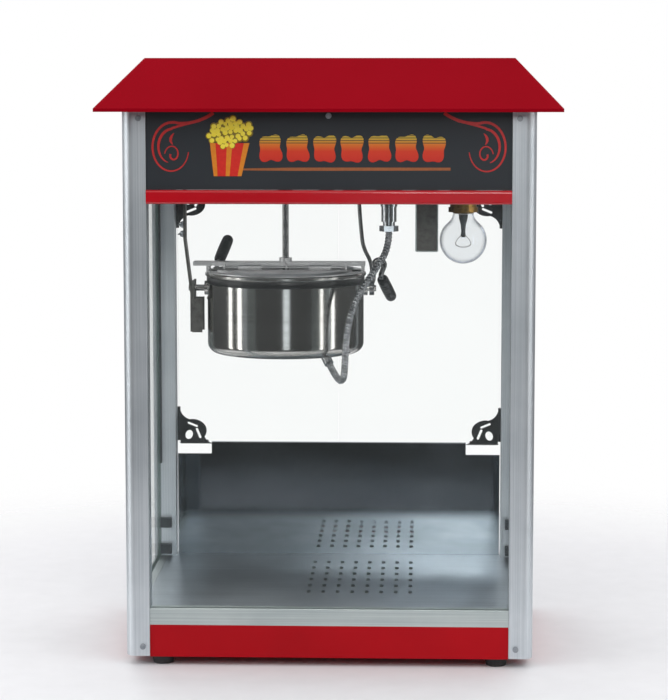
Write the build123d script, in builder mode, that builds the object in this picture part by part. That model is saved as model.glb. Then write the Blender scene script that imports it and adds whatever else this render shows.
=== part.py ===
"""Countertop popcorn maker: a glazed cabinet on a red base, with a tilting kettle under a red roof.

Millimetres, +Z up. The origin is on the table, under the middle of the machine. The sign faces the
customer at -Y, and the operator's doors, switches and crumb drawer are at +Y.
"""

import os
from itertools import product
from math import pi, radians, tan

from build123d import *

# ---- driving dimensions -------------------------------------------------------------------------
CABINET_W = 500.0
CABINET_D = 357.0
EAVES_W = 560.0
EAVES_D = 417.0
SHEET = 1.5
GLASS = 4.0

FOOT_H = 11.0
BASE_TOP = 51.0
RAIL_TOP = 72.0
PANEL_TOP = 226.0
DOOR_BOTTOM = 222.0
DOOR_TOP = 567.0
TRIM_BOTTOM = 569.0
SIGN_BOTTOM = 586.0
CEILING_Z = 587.0
EAVES_Z = 680.0
ROOF_TOP = 744.0
ROOF_INSET = 56.0

POST = 29.5
POST_ROUND = 13.0
SLOT_IN = 4.0
SLOT_W = 5.0
SLOT_DEPTH = 9.0
POST_CORE = 16.5
POST_WALL = 2.0

KETTLE_X = -62.0
KETTLE_R = 100.0
KETTLE_BOTTOM = 370.0
RIM_Z = 468.0
RIM_R = 103.0
PIVOT_Z = 452.0
PIN_R = 4.0
PIVOT_FIT = 0.08

HINGE_X = 221.0
HINGE_Y = 183.0
HINGE_FIT = 0.05
LEAD_R = 4.5

# ---- values worked out from them ----------------------------------------------------------------
HALF_W = CABINET_W / 2
HALF_D = CABINET_D / 2
IN_X = HALF_W - POST
IN_Y = HALF_D - POST
FACE = 2.0
GAP = 0.2
FRONT_GLASS_Y = -(HALF_D - SLOT_IN - SLOT_W / 2)
SIDE_GLASS_X = HALF_W - SLOT_IN - SLOT_W / 2
DOOR_Y = HALF_D - GLASS
KETTLE_AXIS = Axis((KETTLE_X, 0, 0), (0, 0, 1))
KETTLE_PLANE = Plane(origin=(KETTLE_X, 0, 0), x_dir=(1, 0, 0), z_dir=(0, -1, 0))
LOW = (Align.CENTER, Align.CENTER, Align.MIN)

os.makedirs("parts", exist_ok=True)


# ---- helpers ------------------------------------------------------------------------------------
def write(piece, name):
    """Label a finished piece and write it as its own STEP file."""
    piece.label = name
    export_step(piece, f"parts/{name}.step")


def block(x, y, z, mode=Mode.ADD):
    """A plain block between the low and high value of each pair, in the part being built."""
    with Locations(((x[0] + x[1]) / 2, (y[0] + y[1]) / 2, z[0])):
        Box(x[1] - x[0], y[1] - y[0], z[1] - z[0], align=LOW, mode=mode)


def rod(start, end, radius, mode=Mode.ADD):
    """A round rod or hole from one point to another, in the part being built."""
    run = Vector(*end) - Vector(*start)
    with Locations(Plane(origin=start, z_dir=run)):
        Cylinder(radius, run.length, align=LOW, mode=mode)


def ring(start, end, outer, inner):
    """A tube from one point to another, in the part being built."""
    rod(start, end, outer)
    rod(start, end, inner, Mode.SUBTRACT)


def cross_plan(front_x, front_y, side_x, side_y):
    """A plan that fills the space between four corner posts, in the sketch being drawn."""
    Rectangle(2 * front_x, 2 * front_y)
    Rectangle(2 * side_x, 2 * side_y)


def arc_radii(points, share=0.45):
    """The largest tangent arc at each inner point of a route: a share of the shorter run."""
    radii = []
    for before, here, after in zip(points, points[1:], points[2:]):
        run_in = Vector(*here) - Vector(*before)
        run_out = Vector(*after) - Vector(*here)
        half_turn = radians(run_in.get_angle(run_out)) / 2
        radii.append(share * min(run_in.length, run_out.length) / tan(half_turn))
    return radii


def tube(points, radius):
    """A round bar along straight runs joined by tangent arcs, and the length of its centre line."""
    with BuildPart() as bar:
        with BuildLine() as route:
            FilletPolyline(*points, radius=arc_radii(points))
        start = Vector(*points[0])
        with BuildSketch(Plane(origin=start, z_dir=Vector(*points[1]) - start)):
            Circle(radius)
        sweep(path=route.line)
    length = sum(edge.length for edge in route.line.edges())
    return bar.part, length


# ---- base and frame -----------------------------------------------------------------------------
DRAWER_X = (-63.0, 133.0)
DRAWER_Y = (-100.0, HALF_D - FACE)
DRAWER_PLAY = 1.0
MOUTH_TOP = 48.0
GUIDE_TOP = 34.0
FOOT_X = 206.0
FOOT_Y = 158.0
FOOT_R = (12.5, 14.0)


def base_box():
    """Painted sheet box between the posts, open at the top, with a mouth for the crumb drawer."""
    with BuildPart() as box:
        with BuildSketch(Plane.XY.offset(FOOT_H)):
            cross_plan(IN_X - GAP, HALF_D - FACE, HALF_W - FACE, IN_Y - GAP)
        extrude(amount=BASE_TOP - FOOT_H)
        inner = [size - SHEET for size in (IN_X - GAP, HALF_D - FACE, HALF_W - FACE, IN_Y - GAP)]
        with BuildSketch(Plane.XY.offset(FOOT_H + SHEET)):
            cross_plan(*inner)
        extrude(amount=BASE_TOP - FOOT_H, mode=Mode.SUBTRACT)
        mouth_x = (DRAWER_X[0] - DRAWER_PLAY, DRAWER_X[1] + DRAWER_PLAY)
        block(mouth_x, (HALF_D - 8, HALF_D), (FOOT_H + SHEET, MOUTH_TOP), Mode.SUBTRACT)
        for guide_x in (mouth_x[0] - SHEET, mouth_x[1]):
            block((guide_x, guide_x + SHEET), (DRAWER_Y[0], HALF_D - 6), (FOOT_H + SHEET, GUIDE_TOP))
    return box.part


def feet():
    """Four tapered rubber feet under the base."""
    with BuildPart() as pads:
        with Locations(*[(x, y, 0) for x, y in product((-FOOT_X, FOOT_X), (-FOOT_Y, FOOT_Y))]):
            Cone(*FOOT_R, FOOT_H, align=LOW)
        fillet(pads.faces().filter_by(Axis.Z).group_by(Axis.Z)[0].edges(), 1.5)
    return pads.part


def corner_post(side_x, side_y):
    """One extruded post: rounded outside corner, two glazing slots and a hollow core."""
    slot_mid = SLOT_IN + SLOT_W / 2
    core_mid = POST_WALL + POST_CORE / 2
    with BuildPart() as post:
        with BuildSketch(Plane.XY.offset(FOOT_H + 1)) as profile:
            with Locations((side_x * (HALF_W - POST / 2), side_y * (HALF_D - POST / 2))):
                Rectangle(POST, POST)
            outside = profile.vertices().sort_by_distance((side_x * HALF_W, side_y * HALF_D))[0]
            fillet(outside, POST_ROUND)
            with Locations((side_x * (HALF_W - slot_mid), side_y * (IN_Y + SLOT_DEPTH / 2))):
                Rectangle(SLOT_W, SLOT_DEPTH, mode=Mode.SUBTRACT)
            with Locations((side_x * (IN_X + SLOT_DEPTH / 2), side_y * (HALF_D - slot_mid))):
                Rectangle(SLOT_DEPTH, SLOT_W, mode=Mode.SUBTRACT)
            with Locations((side_x * (IN_X + core_mid), side_y * (IN_Y + core_mid))):
                Rectangle(POST_CORE, POST_CORE, mode=Mode.SUBTRACT)
        extrude(amount=EAVES_Z - FOOT_H - 1)
    return post.part


LEDGE = (RAIL_TOP - 2 * SHEET, RAIL_TOP - SHEET)
LEDGE_REACH = 8.0
RAIL_D = 16.5
RAIL_WALL = 2.0
RAIL_SLOT_Z = (RAIL_TOP - 7, RAIL_TOP)
RAIL_CORE_Z = (BASE_TOP + RAIL_WALL, RAIL_TOP - 9)


def rail_front():
    """Front rail with a slot for the glass, a hollow core and a ledge for the floor."""
    front = -(HALF_D - FACE)
    back = front + RAIL_D
    with BuildPart() as rail:
        block((-IN_X + GAP, IN_X - GAP), (front, back), (BASE_TOP, RAIL_TOP))
        block((-IN_X + GAP, IN_X - GAP), (back, back + LEDGE_REACH), LEDGE)
        slot_y = (FRONT_GLASS_Y - SLOT_W / 2, FRONT_GLASS_Y + SLOT_W / 2)
        block((-IN_X, IN_X), slot_y, RAIL_SLOT_Z, Mode.SUBTRACT)
        block((-IN_X, IN_X), (front + RAIL_WALL, back - RAIL_WALL), RAIL_CORE_Z, Mode.SUBTRACT)
        lip = rail.edges().filter_by(Axis.X).sort_by_distance((0, front, RAIL_TOP))[0]
        fillet(lip, 1)
    return rail.part


def side_rails():
    """The two side rails, each with a slot for its pane and a ledge for the floor."""
    with BuildPart() as rails:
        for side in (-1, 1):
            outer = side * (HALF_W - FACE)
            inner = outer - side * RAIL_D
            ledge = inner - side * LEDGE_REACH
            span_y = (-IN_Y + GAP, IN_Y - GAP)
            block(sorted((outer, inner)), span_y, (BASE_TOP, RAIL_TOP))
            block(sorted((inner, ledge)), span_y, LEDGE)
            slot = (side * SIDE_GLASS_X - SLOT_W / 2, side * SIDE_GLASS_X + SLOT_W / 2)
            block(slot, (-IN_Y, IN_Y), RAIL_SLOT_Z, Mode.SUBTRACT)
            core = sorted((outer - side * RAIL_WALL, inner + side * RAIL_WALL))
            block(core, (-IN_Y, IN_Y), RAIL_CORE_Z, Mode.SUBTRACT)
    return rails.part


FLANGE_Y = 165.7
FLANGE_Z = 58.0
FLOOR_PLAY = 0.5
SLOT_FIELD = (35.0, 18.0)
SLOT_PITCH = (18.4, 37.0)
SLOT_COUNT = (8, 6)
SLOT_SIZE = (15.0, 5.0)


def rail_rear():
    """Plain rear rail between the rear posts, below the doors."""
    with BuildPart() as rail:
        block((-IN_X + GAP, IN_X - GAP), (FLANGE_Y + 1.8, HALF_D - FACE), (BASE_TOP, RAIL_TOP))
    return rail.part


def floor_plate():
    """Steel floor with a field of slots over the crumb drawer and a folded rear flange."""
    with BuildPart() as floor:
        wide = HALF_W - FACE - RAIL_D - 0.3
        front = -(HALF_D - FACE - RAIL_D - 0.3)
        sheet_z = (RAIL_TOP - SHEET, RAIL_TOP)
        block((-IN_X + FLOOR_PLAY, IN_X - FLOOR_PLAY), (front, FLANGE_Y), sheet_z)
        block((-wide, wide), (-IN_Y + FLOOR_PLAY, IN_Y - FLOOR_PLAY), sheet_z)
        flange_x = (-IN_X + FLOOR_PLAY, IN_X - FLOOR_PLAY)
        block(flange_x, (FLANGE_Y - SHEET, FLANGE_Y), (FLANGE_Z, RAIL_TOP))
        with BuildSketch(Plane.XY.offset(RAIL_TOP - 2 * SHEET)):
            with Locations(SLOT_FIELD):
                with GridLocations(*SLOT_PITCH, *SLOT_COUNT):
                    SlotOverall(*SLOT_SIZE, rotation=90)
        extrude(amount=3 * SHEET, mode=Mode.SUBTRACT)
    return floor.part


# ---- glass, gaskets and the rear panel ----------------------------------------------------------
GLASS_Z = (RAIL_TOP - 6.5, 597.0)
GLASS_IN_SLOT = 7.5
STRIP_Z = (200.0, 585.0)
STRIP = (2.5, 5.0)
CLIP_Z = (82.0, 118.0)
CLIP = (15.0, 8.0, 13.0)
PANEL_Y = 167.2
PANEL_SHEET = 1.2
SHOULDER_Z = 210.0
TAB_HALF = 173.0


def front_glass():
    """Fixed front pane, held in the slots of the posts and of the front rail."""
    with BuildPart() as pane:
        half = IN_X + GLASS_IN_SLOT
        block((-half, half), (FRONT_GLASS_Y - GLASS / 2, FRONT_GLASS_Y + GLASS / 2), GLASS_Z)
    return pane.part


def side_glass():
    """The two fixed side panes."""
    with BuildPart() as panes:
        for x in (-SIDE_GLASS_X, SIDE_GLASS_X):
            half = IN_Y + GLASS_IN_SLOT
            block((x - GLASS / 2, x + GLASS / 2), (-half, half), GLASS_Z)
    return panes.part


def glazing_gaskets():
    """Rubber strips beside the side panes at the rear posts, and the small black pane clips."""
    with BuildPart() as strips:
        for side in (-1, 1):
            pane = side * (SIDE_GLASS_X - GLASS / 2)
            strip = sorted((pane, pane - side * STRIP[0]))
            block(strip, (IN_Y - STRIP[1], IN_Y - GAP / 2), STRIP_Z)
            for z in CLIP_Z:
                clip = sorted((pane, pane - side * CLIP[0]))
                block(clip, (IN_Y - CLIP[1], IN_Y - GAP / 2), (z - CLIP[2] / 2, z + CLIP[2] / 2))
    return strips.part


def rear_panel():
    """Polished lower rear panel: notched shoulders, a centre tab and a hem folded along its top."""
    with BuildPart() as panel:
        with BuildSketch(Plane.XZ.offset(-PANEL_Y)):
            with Locations((0, (FLANGE_Z + SHOULDER_Z) / 2)):
                Rectangle(2 * (IN_X - 1.5), SHOULDER_Z - FLANGE_Z)
            with Locations((0, (SHOULDER_Z - 10 + PANEL_TOP) / 2)):
                Rectangle(2 * TAB_HALF, PANEL_TOP - SHOULDER_Z + 10)
        extrude(amount=PANEL_SHEET)
        block((-TAB_HALF, TAB_HALF), (PANEL_Y, PANEL_Y + 6.3), (PANEL_TOP - PANEL_SHEET, PANEL_TOP))
    return panel.part


# ---- header and roof ----------------------------------------------------------------------------
CEILING_Y = (-169.0, 171.0)
FLANGE_H = 12.0
MOTOR_HOLE_R = 12.0
LAMP = (165.0, 0.0)
SOCKET = (71.0, -60.0)
SWITCH_X = (-60.0, 0.0, 60.0)
SWITCH_Z = 640.0
BEZEL = (10.5, 15.5)
HOUSING = (9.4, 14.2)
POCKET = (7.8, 12.8)
ROCKER_Y = HALF_D - 1.5
AXLE_R = 1.5
AXLE_HALF = 9.0
GLAND = (-165.0, 625.0)
GLAND_R = 8.0


def ceiling_plate():
    """Steel plate over the cabinet that carries the gearbox, the lamp and the kettle hangers."""
    with BuildPart() as plate:
        sheet_z = (CEILING_Z, CEILING_Z + SHEET)
        span_x = (-IN_X + 0.7, IN_X - 0.7)
        side_x = SIDE_GLASS_X - GLASS / 2 - 0.7
        block(span_x, CEILING_Y, sheet_z)
        block((-side_x, side_x), (-IN_Y + FLOOR_PLAY, IN_Y - FLOOR_PLAY), sheet_z)
        for y in (CEILING_Y[0], CEILING_Y[1] - SHEET):
            block(span_x, (y, y + SHEET), (CEILING_Z, CEILING_Z + FLANGE_H))
        for x, y, r in ((KETTLE_X, 0, MOTOR_HOLE_R), (*LAMP, 9), (*SOCKET, 8)):
            rod((x, y, CEILING_Z - 1), (x, y, CEILING_Z + 3), r, Mode.SUBTRACT)
    return plate.part


TRIM_D = 6.5
TRIM_STAND = 3.5
SIDE_TRIM_D = 3.6
SIDE_TRIM_INSET = 0.4
SIGN_BACK = 3.0
SIGN_FACE = 1.0


def trim_bar(length, side_x, side_y, reach, depth):
    """One rounded channel of the red header trim, on the side that its two signs point to."""
    height = SIGN_BOTTOM - TRIM_BOTTOM
    normal = Vector(side_x, side_y, 0)
    across = Vector(-side_y, side_x, 0)
    start = normal * reach - across * (length / 2)
    with BuildPart() as bar:
        with BuildSketch(Plane(origin=start, x_dir=normal, z_dir=across)) as profile:
            z_sign = 1 if profile.workplanes[0].y_dir.Z > 0 else -1
            with Locations((-depth / 2, z_sign * (TRIM_BOTTOM + height / 2))):
                Rectangle(depth, height)
            fillet(profile.vertices().group_by(Axis.X)[-1], TRIM_STAND)
            with Locations((-depth / 2 - SHEET, z_sign * (TRIM_BOTTOM + height / 2))):
                Rectangle(depth, height - 2 * SHEET, mode=Mode.SUBTRACT)
        extrude(amount=length)
    return bar.part


def header_trim():
    """The four red trim channels round the bottom of the header, flush with the posts at the sides."""
    bars = [
        trim_bar(2 * (IN_X - GAP), 0, -1, HALF_D + TRIM_STAND, TRIM_D),
        trim_bar(2 * (IN_X - GAP), 0, 1, HALF_D + TRIM_STAND, TRIM_D),
        trim_bar(2 * (IN_Y - GAP), -1, 0, HALF_W - SIDE_TRIM_INSET, SIDE_TRIM_D),
        trim_bar(2 * (IN_Y - GAP), 1, 0, HALF_W - SIDE_TRIM_INSET, SIDE_TRIM_D),
    ]
    with BuildPart() as trim:
        add(bars)
    return trim.part


def sign_panel():
    """Flat panel of the header that faces the customer."""
    with BuildPart() as panel:
        y = (-HALF_D + SIGN_FACE, -HALF_D + SIGN_BACK)
        block((-IN_X + GAP, IN_X - GAP), y, (SIGN_BOTTOM + GAP, EAVES_Z - GAP))
    return panel.part


def side_panels():
    """Flat panels at the two sides of the header."""
    with BuildPart() as panels:
        for side in (-1, 1):
            x = sorted((side * (HALF_W - SIGN_FACE), side * (HALF_W - SIGN_BACK)))
            block(x, (-IN_Y + GAP, IN_Y - GAP), (SIGN_BOTTOM + GAP, EAVES_Z - GAP))
    return panels.part


def switch_panel():
    """Operator's side of the header, with the cut-outs for three switches and the cable gland."""
    y = (HALF_D - SIGN_BACK, HALF_D - SIGN_FACE)
    hole_x, hole_z = (half + 0.1 for half in HOUSING)
    with BuildPart() as panel:
        block((-IN_X + GAP, IN_X - GAP), y, (SIGN_BOTTOM + GAP, EAVES_Z - GAP))
        for x in SWITCH_X:
            block((x - hole_x, x + hole_x), y, (SWITCH_Z - hole_z, SWITCH_Z + hole_z), Mode.SUBTRACT)
        gland_end = (GLAND[0], y[1] + 1, GLAND[1])
        rod((GLAND[0], y[0] - 1, GLAND[1]), gland_end, GLAND_R + 0.1, Mode.SUBTRACT)
    return panel.part


def switch_bezels():
    """Three switch housings: a frame on the panel, an open pocket and the bore for the rocker's axle."""
    y = HALF_D - SIGN_FACE
    with BuildPart() as bezels:
        for x in SWITCH_X:
            for (half_x, half_z), depth, mode in (
                (BEZEL, (y, y + 1.8), Mode.ADD),
                (HOUSING, (y - 19, y), Mode.ADD),
                (POCKET, (y - 12, y + 2), Mode.SUBTRACT),
            ):
                block((x - half_x, x + half_x), depth, (SWITCH_Z - half_z, SWITCH_Z + half_z), mode)
            start = (x - AXLE_HALF - 0.1, ROCKER_Y, SWITCH_Z)
            end = (x + AXLE_HALF + 0.1, ROCKER_Y, SWITCH_Z)
            rod(start, end, AXLE_R + HINGE_FIT, Mode.SUBTRACT)
    return bezels.part


def rocker(x):
    """A see-saw switch cap on its axle, tipped so that its upper edge stands out while it is off."""
    half = POCKET[0] - 0.3
    outline = ((-7, -6), (-2, -11), (1, -11.6), (2.2, 0), (4.6, 11.6), (-1, 11.8), (-7, 6))
    side = Plane(origin=(x - half, ROCKER_Y, SWITCH_Z), x_dir=(0, 1, 0), z_dir=(1, 0, 0))
    with BuildPart() as cap:
        with BuildSketch(side):
            Polygon(*outline, align=None)
        extrude(amount=2 * half)
        fillet(cap.edges().filter_by(Axis.X).group_by(Axis.Y)[-1], 0.8)
        rod((x - AXLE_HALF, ROCKER_Y, SWITCH_Z), (x + AXLE_HALF, ROCKER_Y, SWITCH_Z), AXLE_R)
    return cap.part


LIP = 4.0
ROOF_CORNER = 3.0
SOFFIT_OPENING = (205.0, 133.0)


def roof():
    """Sheet-metal roof: a low pyramid with a flat top, a square lip and a soffit over the posts."""
    run_per_rise = ROOF_INSET / (ROOF_TOP - EAVES_Z - LIP)
    skin = SHEET * (1 + run_per_rise**2) ** 0.5
    lip_top = EAVES_Z + LIP
    top_w = EAVES_W - 2 * ROOF_INSET
    top_d = EAVES_D - 2 * ROOF_INSET
    inner_top = ROOF_TOP - SHEET
    drawn_in = 2 * (run_per_rise * (inner_top - lip_top) + skin)
    with BuildPart() as shell:
        with BuildSketch(Plane.XY.offset(lip_top)):
            RectangleRounded(EAVES_W, EAVES_D, ROOF_CORNER)
        with BuildSketch(Plane.XY.offset(ROOF_TOP)):
            RectangleRounded(top_w, top_d, ROOF_CORNER)
        loft()
        with BuildSketch(Plane.XY.offset(EAVES_Z)):
            RectangleRounded(EAVES_W, EAVES_D, ROOF_CORNER)
        extrude(amount=lip_top - EAVES_Z)
        fillet(shell.faces().sort_by(Axis.Z)[-1].edges(), 2)
        with BuildSketch(Plane.XY.offset(EAVES_Z + SHEET)):
            Rectangle(EAVES_W - 2 * SHEET, EAVES_D - 2 * SHEET)
        extrude(amount=LIP - SHEET, mode=Mode.SUBTRACT)
        with BuildSketch(Plane.XY.offset(lip_top)):
            Rectangle(EAVES_W - 2 * skin, EAVES_D - 2 * skin)
        with BuildSketch(Plane.XY.offset(inner_top)):
            Rectangle(EAVES_W - drawn_in, EAVES_D - drawn_in)
        loft(mode=Mode.SUBTRACT)
        half_x, half_y = SOFFIT_OPENING
        block((-half_x, half_x), (-half_y, half_y), (EAVES_Z - 1, EAVES_Z + SHEET + 1), Mode.SUBTRACT)
    return shell.part


SCREW_R = 3.6
SCREW_H = 2.2
CROSS = (2.2, 0.4, 0.8)


def screw(x, y, z, side):
    """One pan-head screw with a cross slot, standing on a front (-1) or rear (+1) face."""
    tip = y + side * SCREW_H
    arm, half, depth = CROSS
    rod((x, y, z), (x, tip, z), SCREW_R)
    slot_y = sorted((tip, tip - side * depth))
    block((x - arm, x + arm), slot_y, (z - half, z + half), Mode.SUBTRACT)
    block((x - half, x + half), slot_y, (z - arm, z + arm), Mode.SUBTRACT)


def frame_screws():
    """The visible screws: on the posts beside the header and the base, and on the sign."""
    with BuildPart() as screws:
        for x, side, z in product((-229, 229), (-1, 1), (24, 672)):
            screw(x, side * HALF_D, z, side)
        screw(0, -HALF_D + 1, 675, -1)
        screw(-200, HALF_D - 1, 670, 1)
        screw(200, HALF_D - 1, 670, 1)
    return screws.part


# ---- drive, lamp and wiring ---------------------------------------------------------------------
def gearbox():
    """Cast gearbox on the ceiling plate, with a bore for the output shaft."""
    with BuildPart() as box:
        block((KETTLE_X - 22, KETTLE_X + 44), (-25, 25), (CEILING_Z + SHEET, 617))
        fillet(box.edges().filter_by(Axis.Z), 6)
        rod((KETTLE_X, 0, CEILING_Z), (KETTLE_X, 0, 612), PIN_R + HINGE_FIT, Mode.SUBTRACT)
    return box.part


def motor():
    """Round motor can standing on the gearbox."""
    with BuildPart() as can:
        rod((KETTLE_X + 14, 0, 617), (KETTLE_X + 14, 0, 668), 26)
        fillet(can.edges().group_by(Axis.Z)[-1], 5)
        rod((KETTLE_X + 14, 0, 668), (KETTLE_X + 14, 0, 672), 7)
    return can.part


def drive_coupling():
    """Output shaft with a forked hub. The fork is open along Y, so the kettle can leave it."""
    with BuildPart() as fork:
        rod((KETTLE_X, 0, 572), (KETTLE_X, 0, CEILING_Z), 9)
        rod((KETTLE_X, 0, CEILING_Z), (KETTLE_X, 0, 610), PIN_R)
        block((KETTLE_X - 1.8, KETTLE_X + 1.8), (-10, 10), (571, 584), Mode.SUBTRACT)
    return fork.part


def lamp_socket():
    """Ceramic lamp holder under the ceiling plate."""
    x, y = LAMP
    with BuildPart() as holder:
        rod((x, y, 556), (x, y, CEILING_Z), 17)
        rod((x, y, 550), (x, y, 556), 19)
        rod((x, y, 549), (x, y, 574), 13.8, Mode.SUBTRACT)
    return holder.part


def lamp_bulb():
    """Clear bulb: a hollow globe that narrows to a neck, and its screwed metal cap."""
    x, y = LAMP
    bulb_plane = Plane(origin=(x, y, 0), x_dir=(1, 0, 0), z_dir=(0, -1, 0))
    globe_z = 514.0
    globe_r = 30.0
    with BuildPart() as bulb:
        with BuildSketch(bulb_plane):
            for shrink, mode in ((0.0, Mode.ADD), (1.0, Mode.SUBTRACT)):
                with BuildLine():
                    bottom = (0, globe_z - globe_r + shrink)
                    side = (globe_r - shrink, globe_z)
                    start = CenterArc((0, globe_z), globe_r - shrink, -90, 120)
                    neck = (13 - shrink, 550)
                    Spline(start @ 1, neck, tangents=(start % 1, (0, 1)))
                    Line(neck, (0, 550))
                    Line((0, 550), bottom)
                make_face(mode=mode)
        revolve(axis=Axis((x, y, 0), (0, 0, 1)))
        rod((x, y, 550), (x, y, 570), 13.2)
        rod((x, y, 570), (x, y, 573), 5)
    return bulb.part


def lamp_shield():
    """Folded heat shield that hangs between the kettle and the lamp."""
    with BuildPart() as shield:
        block((130.5, 132), (-35, 35), (502, CEILING_Z))
        for y in (-35, 35 - SHEET):
            block((105, 132), (y, y + SHEET), (502, CEILING_Z))
        block((105, 132), (-35, 35), (CEILING_Z - SHEET, CEILING_Z))
    return shield.part


def kettle_socket():
    """Round outlet under the ceiling plate that the kettle lead plugs into."""
    x, y = SOCKET
    with BuildPart() as outlet:
        rod((x, y, 570.5), (x, y, CEILING_Z), 17)
        fillet(outlet.edges().group_by(Axis.Z)[0], 2)
    return outlet.part


def lead_connector_top():
    """Plug shell and nut at the upper end of the kettle lead."""
    x, y = SOCKET
    with BuildPart() as plug:
        rod((x, y, 541), (x, y, 570.5), 9.5)
        rod((x, y, 536), (x, y, 541), 7.5)
        with BuildSketch(Plane.XY.offset(529)):
            with Locations((x, y)):
                RegularPolygon(12, 6)
        extrude(amount=7)
        rod((x, y, 560), (x, y, 566), 10.5)
    return plug.part


def cable_gland():
    """Gland for the mains lead on the switch panel: hexagon, dome and a bore for the lead."""
    x, z = GLAND
    y = HALF_D - 1
    with BuildPart() as gland:
        with BuildSketch(Plane(origin=(x, y, z), x_dir=(1, 0, 0), z_dir=(0, 1, 0))):
            RegularPolygon(12, 6)
        extrude(amount=6)
        rod((x, y - 10, z), (x, y, z), 8)
        rod((x, y + 6, z), (x, y + 17, z), 9)
        fillet(gland.edges().group_by(Axis.Y)[-1], 3)
        rod((x, y - 11, z), (x, y + 18, z), 4, Mode.SUBTRACT)
    return gland.part


# ---- kettle hangers -----------------------------------------------------------------------------
ARM_X = -182.5
ARM_ROD_R = 2.5


def kettle_arm_left():
    """Flat bar from the ceiling to the left pivot, cranked in towards the kettle."""
    path = ((-191, CEILING_Z - 3), (-191, 515), (ARM_X, 445), (ARM_X, 396))
    left = [(x - 1.5, z) for x, z in path]
    right = [(x + 1.5, z) for x, z in reversed(path)]
    with BuildPart() as arm:
        with BuildSketch(Plane.XZ.offset(-9)):
            Polygon(*left, *right, align=None)
        extrude(amount=18)
        block((-206, -176), (-9, 9), (CEILING_Z - 3, CEILING_Z))
        rod((-208, 0, PIVOT_Z), (-176, 0, PIVOT_Z), PIN_R + 1.2, Mode.SUBTRACT)
    return arm.part


def wing_nuts():
    """Two wing nuts on the crank of the left arm."""
    face = -192.5
    with BuildPart() as nuts:
        for z in (533, 521):
            rod((face, 0, z), (face - 5, 0, z), 3.6)
            block((face - 7, face - 2), (-9, 9), (z - 0.8, z + 0.8))
    return nuts.part


def pivot_bracket():
    """Channel on the left arm with an open notch that the kettle's trunnion rests in."""
    web = (ARM_X + 1.5, ARM_X + 4)
    with BuildPart() as bracket:
        block(web, (-17, 17), (396, 462))
        for y in (-17, 17 - SHEET):
            block((web[0], -168), (y, y + SHEET), (396, 439))
        rod((web[0] - 1, 0, PIVOT_Z), (web[1] + 1, 0, PIVOT_Z), PIN_R + PIVOT_FIT, Mode.SUBTRACT)
        notch = PIN_R + PIVOT_FIT
        block((web[0] - 1, web[1] + 1), (-notch, notch), (PIVOT_Z, 464), Mode.SUBTRACT)
    return bracket.part


def kettle_arm_right():
    """Thin steel rod from the ceiling to the right pivot, ending in an eye."""
    points = ((31, 0, CEILING_Z - GAP), (33, 0, 545), (37, 0, 505), (48.5, 0, 484), (48.5, 0, 460))
    with BuildPart() as arm:
        add(tube(points, ARM_ROD_R)[0])
        rod((45.5, 0, PIVOT_Z), (51.5, 0, PIVOT_Z), 9)
        rod((44, 0, PIVOT_Z), (53, 0, PIVOT_Z), PIN_R + PIVOT_FIT, Mode.SUBTRACT)
    return arm.part


# ---- kettle -------------------------------------------------------------------------------------
TILT_LUG_X = 36.0
TILT_GRIP = ((61.0, 42.0, 461.0), (73.0, 98.0, 430.0))


def kettle_shell():
    """Outer steel can of the kettle with its two trunnions and the lug for the tilt arm."""
    with BuildPart() as shell:
        with BuildSketch(KETTLE_PLANE):
            with BuildLine():
                Polyline((0, KETTLE_BOTTOM), (KETTLE_R - 13, KETTLE_BOTTOM))
                RadiusArc((KETTLE_R - 13, KETTLE_BOTTOM), (KETTLE_R, KETTLE_BOTTOM + 13), -13)
                Polyline((KETTLE_R, KETTLE_BOTTOM + 13), (KETTLE_R, RIM_Z), (KETTLE_R - 1.2, RIM_Z))
                Line((KETTLE_R - 1.2, RIM_Z), (KETTLE_R - 1.2, KETTLE_BOTTOM + 13))
                RadiusArc((KETTLE_R - 1.2, KETTLE_BOTTOM + 13), (KETTLE_R - 13, KETTLE_BOTTOM + 1.2), 11.8)
                Polyline((KETTLE_R - 13, KETTLE_BOTTOM + 1.2), (0, KETTLE_BOTTOM + 1.2), (0, KETTLE_BOTTOM))
            make_face()
        revolve(axis=KETTLE_AXIS)
        left = KETTLE_X - KETTLE_R
        right = KETTLE_X + KETTLE_R
        rod((left + 0.6, 0, PIVOT_Z), (left - 4, 0, PIVOT_Z), 9)
        rod((left - 4, 0, PIVOT_Z), (-186.5, 0, PIVOT_Z), PIN_R)
        rod((right - 0.6, 0, PIVOT_Z), (right + 5, 0, PIVOT_Z), 9)
        rod((right + 5, 0, PIVOT_Z), (54, 0, PIVOT_Z), PIN_R)
        block((32, TILT_LUG_X), (23, 35), (448, 462))
    return shell.part


def kettle_pot():
    """Cooking bowl inside the can, with a rolled rim that hooks over the can's edge."""
    wall = 95.5
    floor_z = 386.0
    with BuildPart() as bowl:
        with BuildSketch(KETTLE_PLANE):
            with BuildLine():
                Polyline((0, floor_z), (wall - 12, floor_z))
                RadiusArc((wall - 12, floor_z), (wall, floor_z + 12), -12)
                Polyline((wall, floor_z + 12), (wall, RIM_Z), (RIM_R - 1.5, RIM_Z), (RIM_R, RIM_Z + 1.5))
                Polyline((RIM_R, RIM_Z + 1.5), (RIM_R, RIM_Z + 4), (RIM_R - 1.5, RIM_Z + 5.5))
                Polyline((RIM_R - 1.5, RIM_Z + 5.5), (wall + 1, RIM_Z + 5.5), (wall - 1.5, RIM_Z + 3))
                Line((wall - 1.5, RIM_Z + 3), (wall - 1.5, floor_z + 12))
                RadiusArc((wall - 1.5, floor_z + 12), (wall - 12, floor_z + 1.5), 10.5)
                Polyline((wall - 12, floor_z + 1.5), (0, floor_z + 1.5), (0, floor_z))
            make_face()
        revolve(axis=KETTLE_AXIS)
    return bowl.part


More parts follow.
